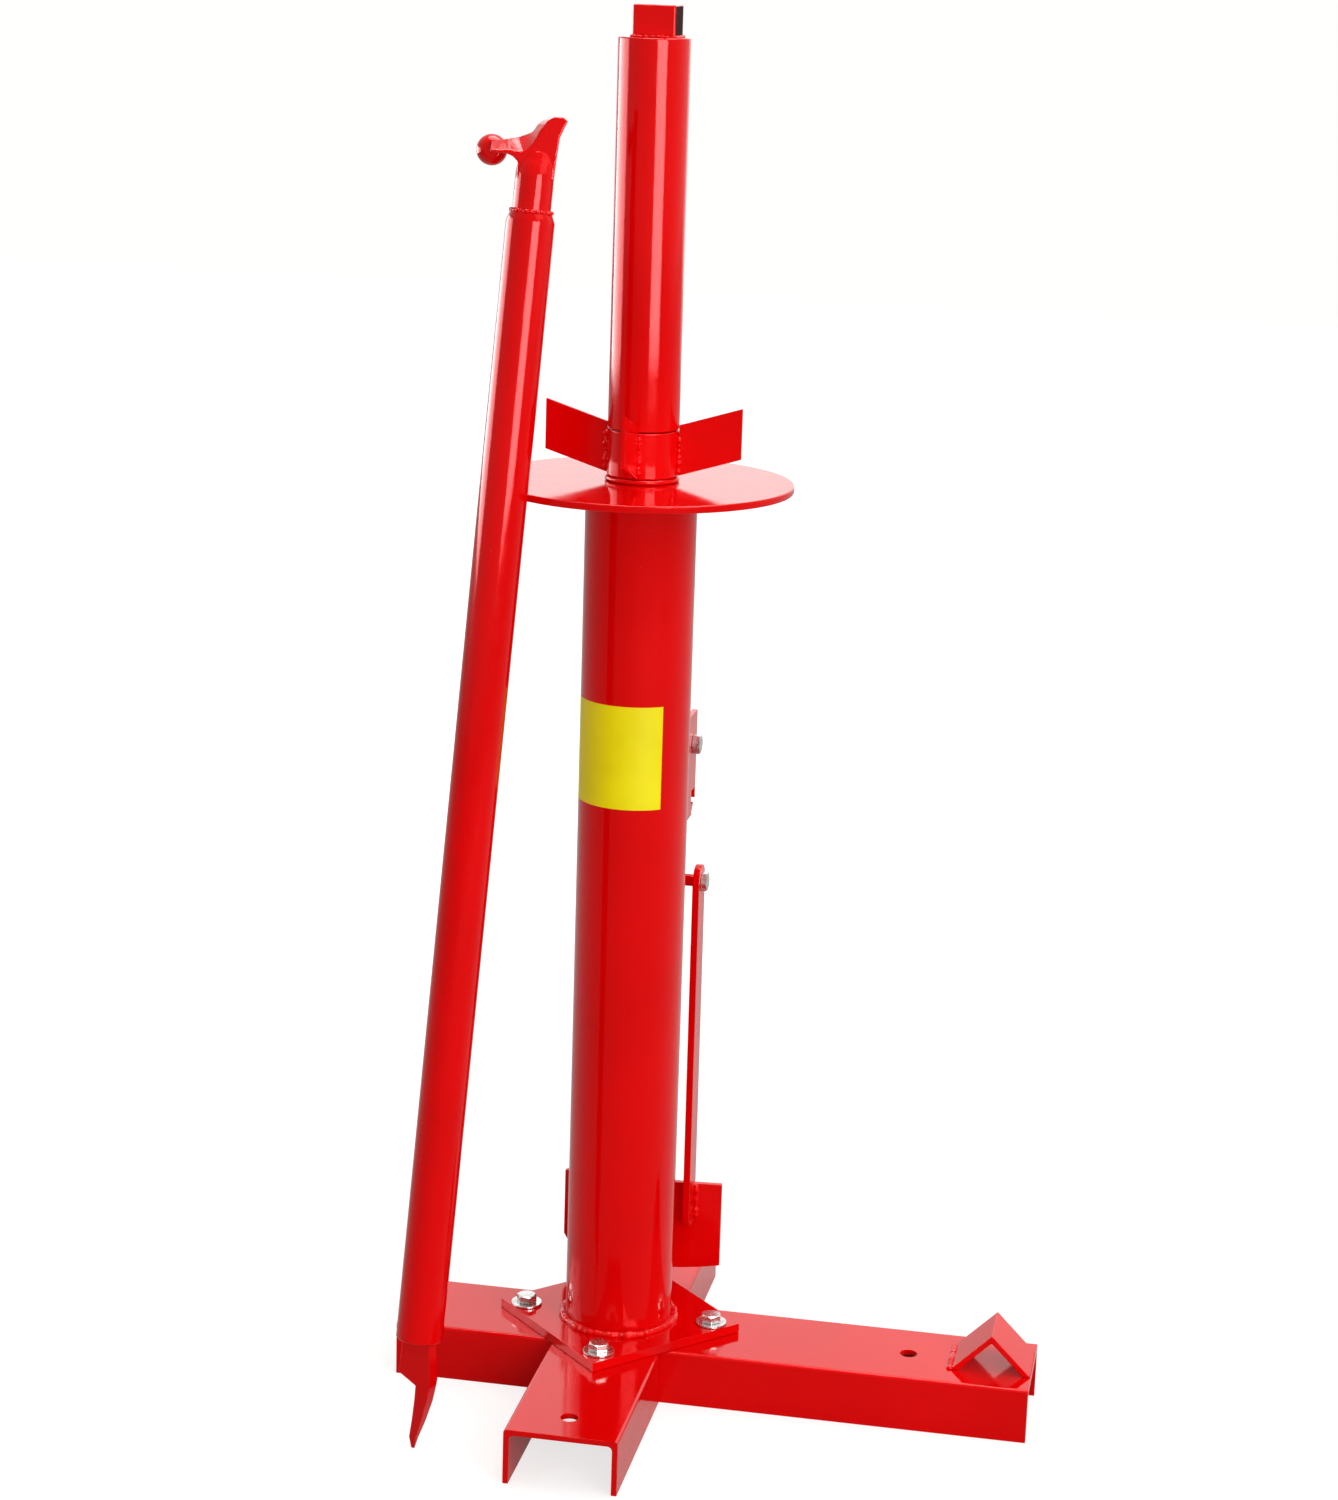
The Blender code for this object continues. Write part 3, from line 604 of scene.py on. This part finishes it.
# lever socket
socket = {"wall": 3.0 * mm, "round": 2.5 * mm, "cheek": 17.0 * mm, "shoulder": 21.0 * mm,
          "edge": 0.35 * mm}
low, high = map(Vector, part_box("lever_socket"))
ob = block(high - low, (low + high) / 2)
pickPart(ob, "EDGE", lambda a, b: abs(a.z - b.z) > 0.1)
bpy.ops.mesh.bevel(offset=socket["round"], segments=4, affect="EDGES")
editDone()
hollow = high - low - Vector((2, 2, 0)) * socket["wall"]
cutWith(ob, block(hollow + Vector((0, 0, 0.02)), (low + high) / 2))
for s in (1, -1):                                        # above the shoulder only two cheeks are left
    cutY = pivotY + s * (socket["cheek"] + 0.01)
    cutWith(ob, block((0.05, 0.02, 0.06), (axisX, cutY, pivotZ - socket["shoulder"] + 0.03)))
pickPart(ob, "EDGE", lambda a, b: a.z > high.z - mm and b.z > high.z - mm and abs(a.x - b.x) > 2 * mm
         and abs(abs(a.y - pivotY) - socket["cheek"]) < 0.1 * mm)
bpy.ops.mesh.bevel(offset=socket["cheek"] * 0.93, segments=10, affect="EDGES")
editDone()
for z in (pivotZ, armZ):
    hole = alongX(rod(32, bracket["boltR"], -0.06, 0.06), pivotY, z)
    place(hole, onColumn)
    cutWith(ob, hole)
roundEdges(ob, socket["edge"], 2, 55)
settle(ob, "leverSocket", "lever_socket", redEnamel, ["lever_socket"])

# breaker arm
arm = {"in": 34.6 * mm, "thick": 5.0 * mm, "wide": 24.0 * mm, "long": 266.5 * mm, "lean": 1.0,
       "toe": 14.0 * mm, "notch": 4.6 * mm, "notchUp": 235.0 * mm, "edge": 0.5 * mm}
lean = Matrix.Translation((axisX, pivotY, armZ)) @ Matrix.Rotation(math.radians(arm["lean"]), 4, "X")
half = arm["wide"] / 2
bar = block((arm["thick"], arm["wide"], arm["long"] + half),
            (arm["in"] + arm["thick"] / 2, 0, (half - arm["long"]) / 2))
pickPart(bar, "EDGE", lambda a, b: a.z > 0 and b.z > 0 and abs(a.x - b.x) > mm)
bpy.ops.mesh.bevel(offset=half * 0.985, segments=12, affect="EDGES")
editDone()
pickPart(bar, "EDGE", lambda a, b: a.z < -0.2 and b.z < -0.2 and abs(a.x - b.x) > mm and a.y < 0)
bpy.ops.mesh.bevel(offset=arm["toe"], segments=8, affect="EDGES")
editDone()
notchAt = (arm["in"] + arm["thick"] / 2, half, -arm["notchUp"] - 0.05)
cutWith(bar, block((0.02, arm["notch"] * 2, 0.1), notchAt))
cutWith(bar, alongX(rod(32, bracket["boltR"], -0.06, 0.06), 0, 0))
roundEdges(bar, arm["edge"], 2, 50)
applyAll(bar)
for tag, flip in (("right", 1), ("left", -1)):
    ob = twin(bar, lean @ Matrix.Translation((0 if flip == 1 else -2 * arm["in"] - arm["thick"], 0, 0)))
    settle(ob, "breakerArm." + tag, "breaker_arm", redEnamel, ["breaker_arm_" + tag])
bpy.data.objects.remove(bar, do_unlink=True)

# breaker shoe
shoe = {"wide": 118.4 * mm, "tall": 68.5 * mm, "thick": 5.0 * mm, "bend": 540.0 * mm, "edge": 0.6 * mm,
        "bow": 4.8 * mm, "clipped": 13.7 * mm, "clipFrom": 0.72}
low, high = map(Vector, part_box("breaker_shoe"))
clearPick()
bpy.ops.mesh.primitive_grid_add(x_subdivisions=48, y_subdivisions=16, size=1)
ob = bpy.context.object
for vertex in ob.data.vertices:
    x, up = vertex.co.x * shoe["wide"], vertex.co.y + 0.5
    q = 2 * x / shoe["wide"]
    bottom = -shoe["tall"] + shoe["bow"] * q * q
    if q < -shoe["clipFrom"]:
        bottom += shoe["clipped"] * ((-q - shoe["clipFrom"]) / (1 - shoe["clipFrom"])) ** 2
    vertex.co = (axisX + x, low.y + x * x / (2 * shoe["bend"]), high.z + bottom * (1 - up))
addModifier(ob, "SOLIDIFY", thickness=shoe["thick"], offset=-1)
applyAll(ob)
turnOut(ob)
shift = low.y - min(v.co.y for v in ob.data.vertices)
place(ob, Matrix.Translation((0, shift, 0)))
roundEdges(ob, shoe["edge"], 2, 60)
settle(ob, "breakerShoe", "breaker_arm", redEnamel, ["breaker_shoe"])
print("bead breaker done")

# lever bar
lever = {"lean": 6.26, "leanAz": 55.8, "restAz": 232.0, "radius": 16.0 * mm, "wall": 3.0 * mm,
         "low": 79.5 * mm, "high": 835.0 * mm, "neckR": 12.7 * mm, "headBase": 868.0 * mm,
         "headTwist": 47.3, "bladeTurn": 14.4,
         "shoulder": 7.0 * mm, "taper": 0.83, "gap": 0.4 * mm}
lean, azimuth, rest = (math.radians(lever[k]) for k in ("lean", "leanAz", "restAz"))
up = Vector((math.sin(lean) * math.cos(azimuth), math.sin(lean) * math.sin(azimuth), math.cos(lean)))
edge = Vector((math.sin(azimuth), -math.cos(azimuth), 0))
inward = up.cross(edge)
reach = restR + lever["radius"] / math.cos(lean) + lever["gap"]
touch = Vector((axisX + reach * math.cos(rest), reach * math.sin(rest), restTop))
standing = Matrix((edge, inward, up)).transposed().to_4x4()
standing.translation = touch - up * (restTop / up.z)

leverTube = rod(96, lever["radius"], lever["low"], lever["high"], "NOTHING")
pickPart(leverTube, "EDGE", lambda a, b: a.z > lever["high"] - mm and b.z > lever["high"] - mm)
bpy.ops.mesh.extrude_region_move(TRANSFORM_OT_translate={"value": (0, 0, lever["shoulder"])})
bpy.ops.transform.resize(value=(lever["taper"], lever["taper"], 1), center_override=(0, 0, 0))
editDone()
makeWall(leverTube, lever["wall"])
roundEdges(leverTube, 1.0 * mm, 3, 25)
place(leverTube, standing)
settle(leverTube, "leverTube", "lever_bar", redEnamel, ["bar_tube"])

# forged hook on the neck, drawn as an outline and given thickness
headTurn = standing @ Matrix.Rotation(math.radians(lever["headTwist"]), 4, "Z")
hook = {"near": [(12.4, -6), (12.7, 8), (13.6, 22), (15.6, 27.5), (17.6, 32.4), (14.5, 34.8), (8.9, 34.4),
                 (4.5, 31.5), (3.6, 29.5), (0.2, 24.3), (-1.6, 19.7), (-3.5, 15.6), (-6.6, 11.9), (-9.3, 10.5),
                 (-12.1, 10.2), (-17.4, 10.8), (-26.4, 9.8), (-30, 10.2), (-30, 8.4), (-19, 8.2), (-15.4, 7),
                 (-11.8, 4), (-11.6, -6)],
        "far": [(12.4, -6), (12.7, 8), (13.6, 22), (15.6, 27.5), (17.6, 32.4), (14.5, 35.4), (8.9, 35.8),
                (2.3, 32.4), (-1.4, 29.4), (-4.3, 24.1), (-7.1, 22.6), (-9.8, 21.4), (-13.1, 19.9), (-16, 19),
                (-19.3, 18.2), (-23, 17.4), (-27, 16.5), (-30, 15.6), (-30, 9.4), (-19, 9.2), (-15.4, 7),
                (-11.8, 4), (-11.6, -6)],
        "depth": 14.0 * mm, "voxel": 0.5 * mm, "soften": 12}
clearPick()
bpy.ops.mesh.primitive_circle_add(vertices=len(hook["near"]), radius=0.01, fill_type="NGON")
ob = bpy.context.object
for vertex, (a, b) in zip(ob.data.vertices, hook["near"]):
    vertex.co = (a * mm, -hook["depth"] / 2, lever["headBase"] + b * mm)
pickPart(ob, "FACE", lambda c, n: True)
bpy.ops.mesh.extrude_region_move(TRANSFORM_OT_translate={"value": (0, hook["depth"], 0)})
editDone()
for vertex in ob.data.vertices:                          # the far outline is higher, so the top slopes
    if vertex.co.y > 0:
        k = min(range(len(hook["near"])), key=lambda i: abs(vertex.co.x - hook["near"][i][0] * mm)
                + abs(vertex.co.z - lever["headBase"] - hook["near"][i][1] * mm))
        vertex.co.x, vertex.co.z = hook["far"][k][0] * mm, lever["headBase"] + hook["far"][k][1] * mm
pickPart(ob, "FACE", lambda c, n: True)
bpy.ops.mesh.quads_convert_to_tris()
bpy.ops.mesh.normals_make_consistent(inside=False)
editDone()
neck = rod(72, lever["neckR"], lever["high"] - 30 * mm, lever["headBase"] - 2 * mm)
pickPart(neck, "FACE", lambda c, n: n.z > 0.9)           # the round neck is forged flat where the hook begins
for step in ((0.98, 0.90), (0.97, 0.80), (0.95, 0.85)):
    bpy.ops.mesh.extrude_region_move(TRANSFORM_OT_translate={"value": (0.3 * mm, 0, 4.5 * mm)})
    bpy.ops.transform.resize(value=(*step, 1), center_override=(0, 0, 0))
editDone()
cutWith(neck, ob, "UNION")
addModifier(neck, "REMESH", mode="VOXEL", voxel_size=hook["voxel"])
addModifier(neck, "SMOOTH", factor=0.5, iterations=hook["soften"])
place(neck, headTurn)
settle(neck, "leverHead", "lever_bar", redEnamel, ["bar_head"], 60)

knob = {"radius": 10.2 * mm, "side": -29.2 * mm, "up": 9.9 * mm, "behind": 16.0 * mm, "flat": 7.4 * mm,
        "voxel": 0.6 * mm, "soften": 6}
clearPick()
bpy.ops.mesh.primitive_uv_sphere_add(segments=48, ring_count=32, radius=knob["radius"],
                                     location=(knob["side"], knob["behind"], lever["headBase"] + knob["up"]))
ob = bpy.context.object
bpy.ops.object.transform_apply(location=True, rotation=True, scale=True)
pickPart(ob, "FACE", lambda c, n: True)
bpy.ops.mesh.bisect(plane_co=(0, knob["flat"], 0), plane_no=(0, -1, 0), clear_outer=True, use_fill=True)
editDone()
addModifier(ob, "REMESH", mode="VOXEL", voxel_size=knob["voxel"])
addModifier(ob, "SMOOTH", factor=0.5, iterations=knob["soften"])
place(ob, headTurn)
settle(ob, "leverKnob", "lever_bar", redEnamel, ["bar_knob"], 50)

# flat blade let into the lower end of the tube: height, left, right, front and back in millimetres
blade = {"levels": [(105, -11, 11, -4.2, 4.2), (79.25, -11, 11, -4.2, 4.2), (79.2, -11.4, 15.4, -4.5, 4.5),
                    (53, -11, 15.2, -4.5, 4.5), (47, 3.3, 14.6, -4.5, 4.5), (37, 3.5, 13.2, -4.5, 4.5),
                    (21, 1.6, 9.0, -2.3, 4.5), (8, -0.6, 4.9, -0.2, 3.8), (0, 1.2, 3.6, 1.2, 2.2)],
         "edge": 0.9 * mm}
ob = block((0.022, 0.009, 0.105), (0, 0, 0.0525))
pickPart(ob, "FACE", lambda c, n: True)
for level in blade["levels"][1:-1]:
    bpy.ops.mesh.select_all(action="SELECT")
    bpy.ops.mesh.bisect(plane_co=(0, 0, level[0] * mm), plane_no=(0, 0, 1))
editDone()
for vertex in ob.data.vertices:
    height, left, right, front, back = min(blade["levels"], key=lambda row: abs(row[0] * mm - vertex.co.z))
    x, y = left if vertex.co.x < 0 else right, front if vertex.co.y < 0 else back
    vertex.co = (x * mm, y * mm, height * mm)
roundEdges(ob, blade["edge"], 3, 20)
applyAll(ob)
place(ob, standing @ Matrix.Rotation(math.radians(lever["bladeTurn"]), 4, "Z"))
for vertex in ob.data.vertices:
    vertex.co.z = max(vertex.co.z, 0)
settle(ob, "leverBlade", "lever_bar", redEnamel, ["bar_blade"])
print("lever bar done")

# label on the column, left blank
label = {"low": 0.4325, "high": 0.5045, "from": -161.0, "to": -49.6, "radius": 38.12 * mm, "thick": 0.15 * mm}
ob = rod(720, label["radius"], label["low"], label["high"], "NOTHING")
pickPart(ob, "FACE", lambda c, n: not label["from"] < math.degrees(math.atan2(c.y, c.x)) < label["to"])
bpy.ops.mesh.delete(type="FACE")
editDone()
addModifier(ob, "SOLIDIFY", thickness=label["thick"], offset=1)
place(ob, onColumn)
settle(ob, "columnLabel", "stand", yellowVinyl)


# welds
def weldBead(name, points, body, size, seed, flat=0.75, step=0.75, rough=0.3):
    dice = random.Random(seed)
    squash = (1, 1, flat) if points[0][2] == points[-1][2] else (1, 1, 1)   # only a level bead is flattened
    clearPick()
    bpy.ops.mesh.primitive_ico_sphere_add(subdivisions=2, radius=size * 0.5, location=points[0])
    ob = bpy.context.object
    bpy.ops.object.mode_set(mode="EDIT")
    for a, b in zip(points, points[1:]):
        a, b = Vector(a), Vector(b)
        count = max(1, round((b - a).length / (size * step)))
        for k in range(count):
            spot = a.lerp(b, (k + dice.uniform(0.2, 0.8)) / count)
            grow = size * (1 + dice.uniform(-rough, rough))
            bpy.ops.mesh.primitive_ico_sphere_add(subdivisions=2, radius=grow, location=spot, scale=squash)
    editDone()
    bpy.ops.object.transform_apply(location=True, rotation=True, scale=True)
    addModifier(ob, "REMESH", mode="VOXEL", voxel_size=size * 0.2)
    addModifier(ob, "SMOOTH", factor=0.5, iterations=2)
    return settle(ob, name, body, weldEnamel, smooth=70)


def ring(radius, z, count=72, start=0.0, sweep=360.0):   # points on a level arc round the column
    turns = [math.radians(start + sweep * k / count) for k in range(count + 1)]
    return [(axisX + radius * math.cos(turn), radius * math.sin(turn), z) for turn in turns]


weld = {"footOut": 1.6 * mm, "footUp": 0.9 * mm, "lumpOut": 3.5 * mm, "lumpUp": 1.6 * mm, "topOut": 0.3 * mm,
        "topDown": 0.9 * mm, "stopOut": 0.4 * mm, "stopUp": 0.5 * mm, "stopIn": 1.3 * mm, "stopInUp": 0.8 * mm,
        "stopEnds": 2.0 * mm, "vaneOut": 0.2 * mm, "vaneSide": 0.62, "vaneLow": 2.5 * mm, "vaneHigh": 3.0 * mm,
        "squareUp": 0.4 * mm, "neckR": 13.2 * mm, "neckUp": 6.6 * mm, "armOut": 0.8 * mm, "armFront": 0.3 * mm,
        "armTop": 1.5 * mm, "armBottom": 24.0 * mm, "bladeOut": 4.6 * mm, "bladeUp": 78.6 * mm,
        "bladeHalf": 10.0 * mm}
columnR, topOfColumn = halfWidth("column_tube"), column[1][2]
weldBead("weld.columnFoot", ring(columnR + weld["footOut"], plateTop + weld["footUp"]), "stand", 3.3 * mm, 3,
         flat=0.8, step=0.55, rough=0.3)
for number, (start, sweep) in enumerate(((-117, 12), (-72, 17)), 1):     # where the bead starts and stops
    lump = ring(columnR + weld["lumpOut"], plateTop + weld["lumpUp"], 4, start, sweep)
    weldBead("weld.footLump.%d" % number, lump, "stand", 3.9 * mm, 6 + number, flat=0.8, step=0.8, rough=0.15)
weldBead("weld.columnTop", ring(columnR + weld["topOut"], topOfColumn - weld["topDown"]), "stand",
         1.9 * mm, 5, flat=0.7, step=0.9, rough=0.2)
stopFront, stopBack = stopLow.y + weld["stopEnds"], stopHigh.y - weld["stopEnds"]
x, z = stopLow.x - weld["stopOut"], topOfBase + weld["stopUp"]
weldBead("weld.stopLeft", [(x, stopFront, z), (x, stopBack, z)], "stand", 1.9 * mm, 8)
x, z = stopHigh.x - weld["stopIn"], topOfBase + weld["stopInUp"]         # kept inside the end of the channel
weldBead("weld.stopRight", [(x, stopFront, z), (x, stopBack, z)], "stand", 1.2 * mm, 9, rough=0.1)
for number, angle in enumerate(vane["angles"], 1):
    for s in (1, -1):
        turn = Matrix.Rotation(math.radians(angle), 4, "Z")
        x, y = vane["inner"] + weld["vaneOut"], s * vane["thick"] * weld["vaneSide"]
        spots = [onColumn @ turn @ Vector((x, y, z))
                 for z in (vaneFoot + weld["vaneLow"], hubHigh - weld["vaneHigh"])]
        weldBead("weld.vane.%d%s" % (number, "ab"[s < 0]), [tuple(p) for p in spots], "clamp_hub", 2.2 * mm,
                 20 + number * 2 + s, flat=1.0, step=1.3, rough=0.45)
low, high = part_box("post_tenon")
weldBead("weld.tenonFoot", [(x, y, postTop + weld["squareUp"]) for x, y in
                            ((low[0], low[1]), (high[0], low[1]), (high[0], high[1]), (low[0], high[1]),
                             (low[0], low[1]))], "upper_post", 1.6 * mm, 31)
leverRing = []
for k in range(37):
    turn = math.tau * k / 36
    spot = (weld["neckR"] * math.cos(turn), weld["neckR"] * math.sin(turn), lever["high"] + weld["neckUp"])
    leverRing.append(tuple(standing @ Vector(spot)))
weldBead("weld.leverNeck", leverRing, "lever_bar", 1.4 * mm, 41, flat=1.0, step=1.2, rough=0.4)
shoeFront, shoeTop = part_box("breaker_shoe")[0][1] + weld["armFront"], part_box("breaker_shoe")[1][2]
for tag, s in (("right", 1), ("left", -1)):              # fillets down the outer sides of the arm feet
    low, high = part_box("breaker_arm_" + tag)
    side = (high if s == 1 else low)[0] + s * weld["armOut"]
    weldBead("weld.armFoot." + tag, [(side, shoeFront, shoeTop - weld["armTop"]),
                                     (side, shoeFront, shoeTop - weld["armBottom"])],
             "breaker_arm", 2.6 * mm, 50 + s, flat=1.0, step=0.8, rough=0.3)
onBlade = standing @ Matrix.Rotation(math.radians(lever["bladeTurn"]), 4, "Z")
for tag, s in (("front", -1), ("back", 1)):
    spots = [onBlade @ Vector((x, s * weld["bladeOut"], weld["bladeUp"]))
             for x in (-weld["bladeHalf"], 0, weld["bladeHalf"])]
    weldBead("weld.blade." + tag, [tuple(p) for p in spots], "lever_bar", 1.5 * mm, 60 + s,
             flat=1.0, step=1.0, rough=0.4)
print("welds done")

# floor, light and camera
clearPick()
bpy.ops.mesh.primitive_plane_add(size=14, location=(0, 0, -0.0002))
floor = bpy.context.object
floor.name = "studioFloor"
# the near level dims the floor's glow close to the middle: painted shade round and under the object
studio = {"white": (1, 1, 0.99, 1), "floorTone": (0.34, 0.34, 0.335, 1), "near": 0.3, "far": 1.5,
          "shadeNearObjectLevel": 0.74, "farLevel": 1.0, "floorInGloss": 0.25, "roomLight": 0.50}
floorMat, tree, shader, coord = newFinish("paleFloor")
shader.inputs["Base Color"].default_value = studio["floorTone"]
shader.inputs["Roughness"].default_value = 0.9
shader.inputs["Specular IOR Level"].default_value = 0.1
glow = tree.nodes.new("ShaderNodeEmission")
glow.inputs["Color"].default_value = studio["white"]


def seenRays(tree, glossLevel):                          # rays that see the pale studio itself
    path = tree.nodes.new("ShaderNodeLightPath")
    either = tree.nodes.new("ShaderNodeMath")
    either.operation = "MAXIMUM"
    tree.links.new(path.outputs["Is Glossy Ray"], either.inputs[0])
    tree.links.new(path.outputs["Is Transmission Ray"], either.inputs[1])
    softer = tree.nodes.new("ShaderNodeMath")
    softer.operation = "MULTIPLY"
    softer.inputs[1].default_value = glossLevel
    tree.links.new(either.outputs[0], softer.inputs[0])
    whole = tree.nodes.new("ShaderNodeMath")
    whole.operation = "MAXIMUM"
    tree.links.new(path.outputs["Is Camera Ray"], whole.inputs[0])
    tree.links.new(softer.outputs[0], whole.inputs[1])
    return whole.outputs[0]


away = tree.nodes.new("ShaderNodeVectorMath")            # painted shade: the floor's glow is dimmed round and under the object and gets paler away from the middle
away.operation = "LENGTH"
tree.links.new(coord, away.inputs[0])
paintedFloorShade = tree.nodes.new("ShaderNodeMapRange")
paintedFloorShade.inputs["From Min"].default_value = studio["near"]
paintedFloorShade.inputs["From Max"].default_value = studio["far"]
paintedFloorShade.inputs["To Min"].default_value = studio["shadeNearObjectLevel"]
paintedFloorShade.inputs["To Max"].default_value = studio["farLevel"]
tree.links.new(away.outputs["Value"], paintedFloorShade.inputs["Value"])
seen = tree.nodes.new("ShaderNodeMath")
seen.operation = "MULTIPLY"
tree.links.new(paintedFloorShade.outputs["Result"], seen.inputs[1])
tree.links.new(seenRays(tree, studio["floorInGloss"]), seen.inputs[0])
tree.links.new(seen.outputs[0], glow.inputs["Strength"])
both = tree.nodes.new("ShaderNodeAddShader")
tree.links.new(shader.outputs[0], both.inputs[0])
tree.links.new(glow.outputs[0], both.inputs[1])
tree.links.new(both.outputs[0], tree.nodes["Material Output"].inputs["Surface"])
floor.data.materials.append(floorMat)

world = bpy.data.worlds.new("studio")
world.use_nodes = True
scene.world = world
tree = world.node_tree
background = tree.nodes["Background"]
level = tree.nodes.new("ShaderNodeMath")
level.operation = "MAXIMUM"
tree.links.new(seenRays(tree, 1.0), level.inputs[0])
level.inputs[1].default_value = studio["roomLight"]      # what the room adds to the light on the object
tree.links.new(level.outputs[0], background.inputs["Strength"])
background.inputs["Color"].default_value = studio["white"]

eye = {"azimuth": 11.08, "distance": 2.182, "height": 1.01787, "pitch": 14.19, "roll": 1.79, "yawOff": -0.627,
       "lens": 78.31}
lamps = {                                                # turn is in degrees to the right of the camera
    "keySoftbox": {"turn": 50, "distance": 2.6, "height": 2.4, "size": (2.0, 2.0),
                   "radiance": 2.6, "aim": 0.4},
    "fillSoftbox": {"turn": 20, "distance": 2.6, "height": 0.7, "size": (2.4, 1.6),
                    "radiance": 2.5, "aim": 0.5, "glossy": False},
    "topSoftbox": {"turn": 150, "distance": 0.5, "height": 3.2, "size": (2.2, 2.2),
                   "radiance": 2.7, "aim": 0.3},
    "backSoftbox": {"turn": 172, "distance": 2.6, "height": 1.25, "size": (3.6, 1.9),
                    "radiance": 0.6, "aim": 0.6},
    "leftCard": {"turn": -112, "distance": 1.4, "height": 0.77, "size": (1.35, 0.48),
                 "radiance": 8.5, "aim": 0.77, "diffuse": False},   # a card only shows in gloss
    "rightCard": {"turn": 26, "distance": 1.6, "height": 0.77, "size": (0.86, 0.48),
                  "radiance": 26.0, "aim": 0.77, "diffuse": False},
    "overheadCard": {"turn": 100, "distance": 0.3, "height": 2.6, "size": (1.8, 1.8),
                     "radiance": 10.0, "aim": 0.3, "diffuse": False}}


def addLamp(name, turn, distance, height, size, radiance, aim, diffuse=True, glossy=True):
    clearPick()
    bearing = math.radians(-90 + eye["azimuth"] + turn)
    at = Vector((axisX + distance * math.cos(bearing), distance * math.sin(bearing), height))
    bpy.ops.object.light_add(type="AREA", location=at)
    lamp = bpy.context.object
    lamp.name = name
    lamp.data.shape = "RECTANGLE"
    lamp.data.size, lamp.data.size_y = size
    lamp.data.energy = radiance * math.pi * size[0] * size[1]
    lamp.rotation_euler = (Vector((axisX, 0, aim)) - at).to_track_quat("-Z", "Y").to_euler()
    lamp.visible_diffuse, lamp.visible_glossy = diffuse, glossy


for name, values in lamps.items():
    addLamp(name, **values)

yaw = math.radians(eye["azimuth"] + eye["yawOff"])
pitch, roll = math.radians(eye["pitch"]), math.radians(eye["roll"])
forward = Vector((-math.sin(yaw) * math.cos(pitch), math.cos(yaw) * math.cos(pitch), -math.sin(pitch)))
right = Vector((math.cos(yaw), math.sin(yaw), 0))
upward = right.cross(forward)
rightTurned = right * math.cos(roll) + upward * math.sin(roll)
upTurned = upward * math.cos(roll) - right * math.sin(roll)
clearPick()
azimuth = math.radians(eye["azimuth"])
bpy.ops.object.camera_add()
camera = bpy.context.object
camera.name = "studioCamera"
view = Matrix((rightTurned, upTurned, -forward)).transposed().to_4x4()
eyeX, eyeY = eye["distance"] * math.sin(azimuth), -eye["distance"] * math.cos(azimuth)
view.translation = (axisX + eyeX, eyeY, eye["height"])
camera.matrix_world = view
camera.data.sensor_fit = "VERTICAL"
camera.data.sensor_height = 36.0
camera.data.lens = eye["lens"]
scene.camera = camera
scene.view_settings.view_transform = "Standard"
print("stage done")
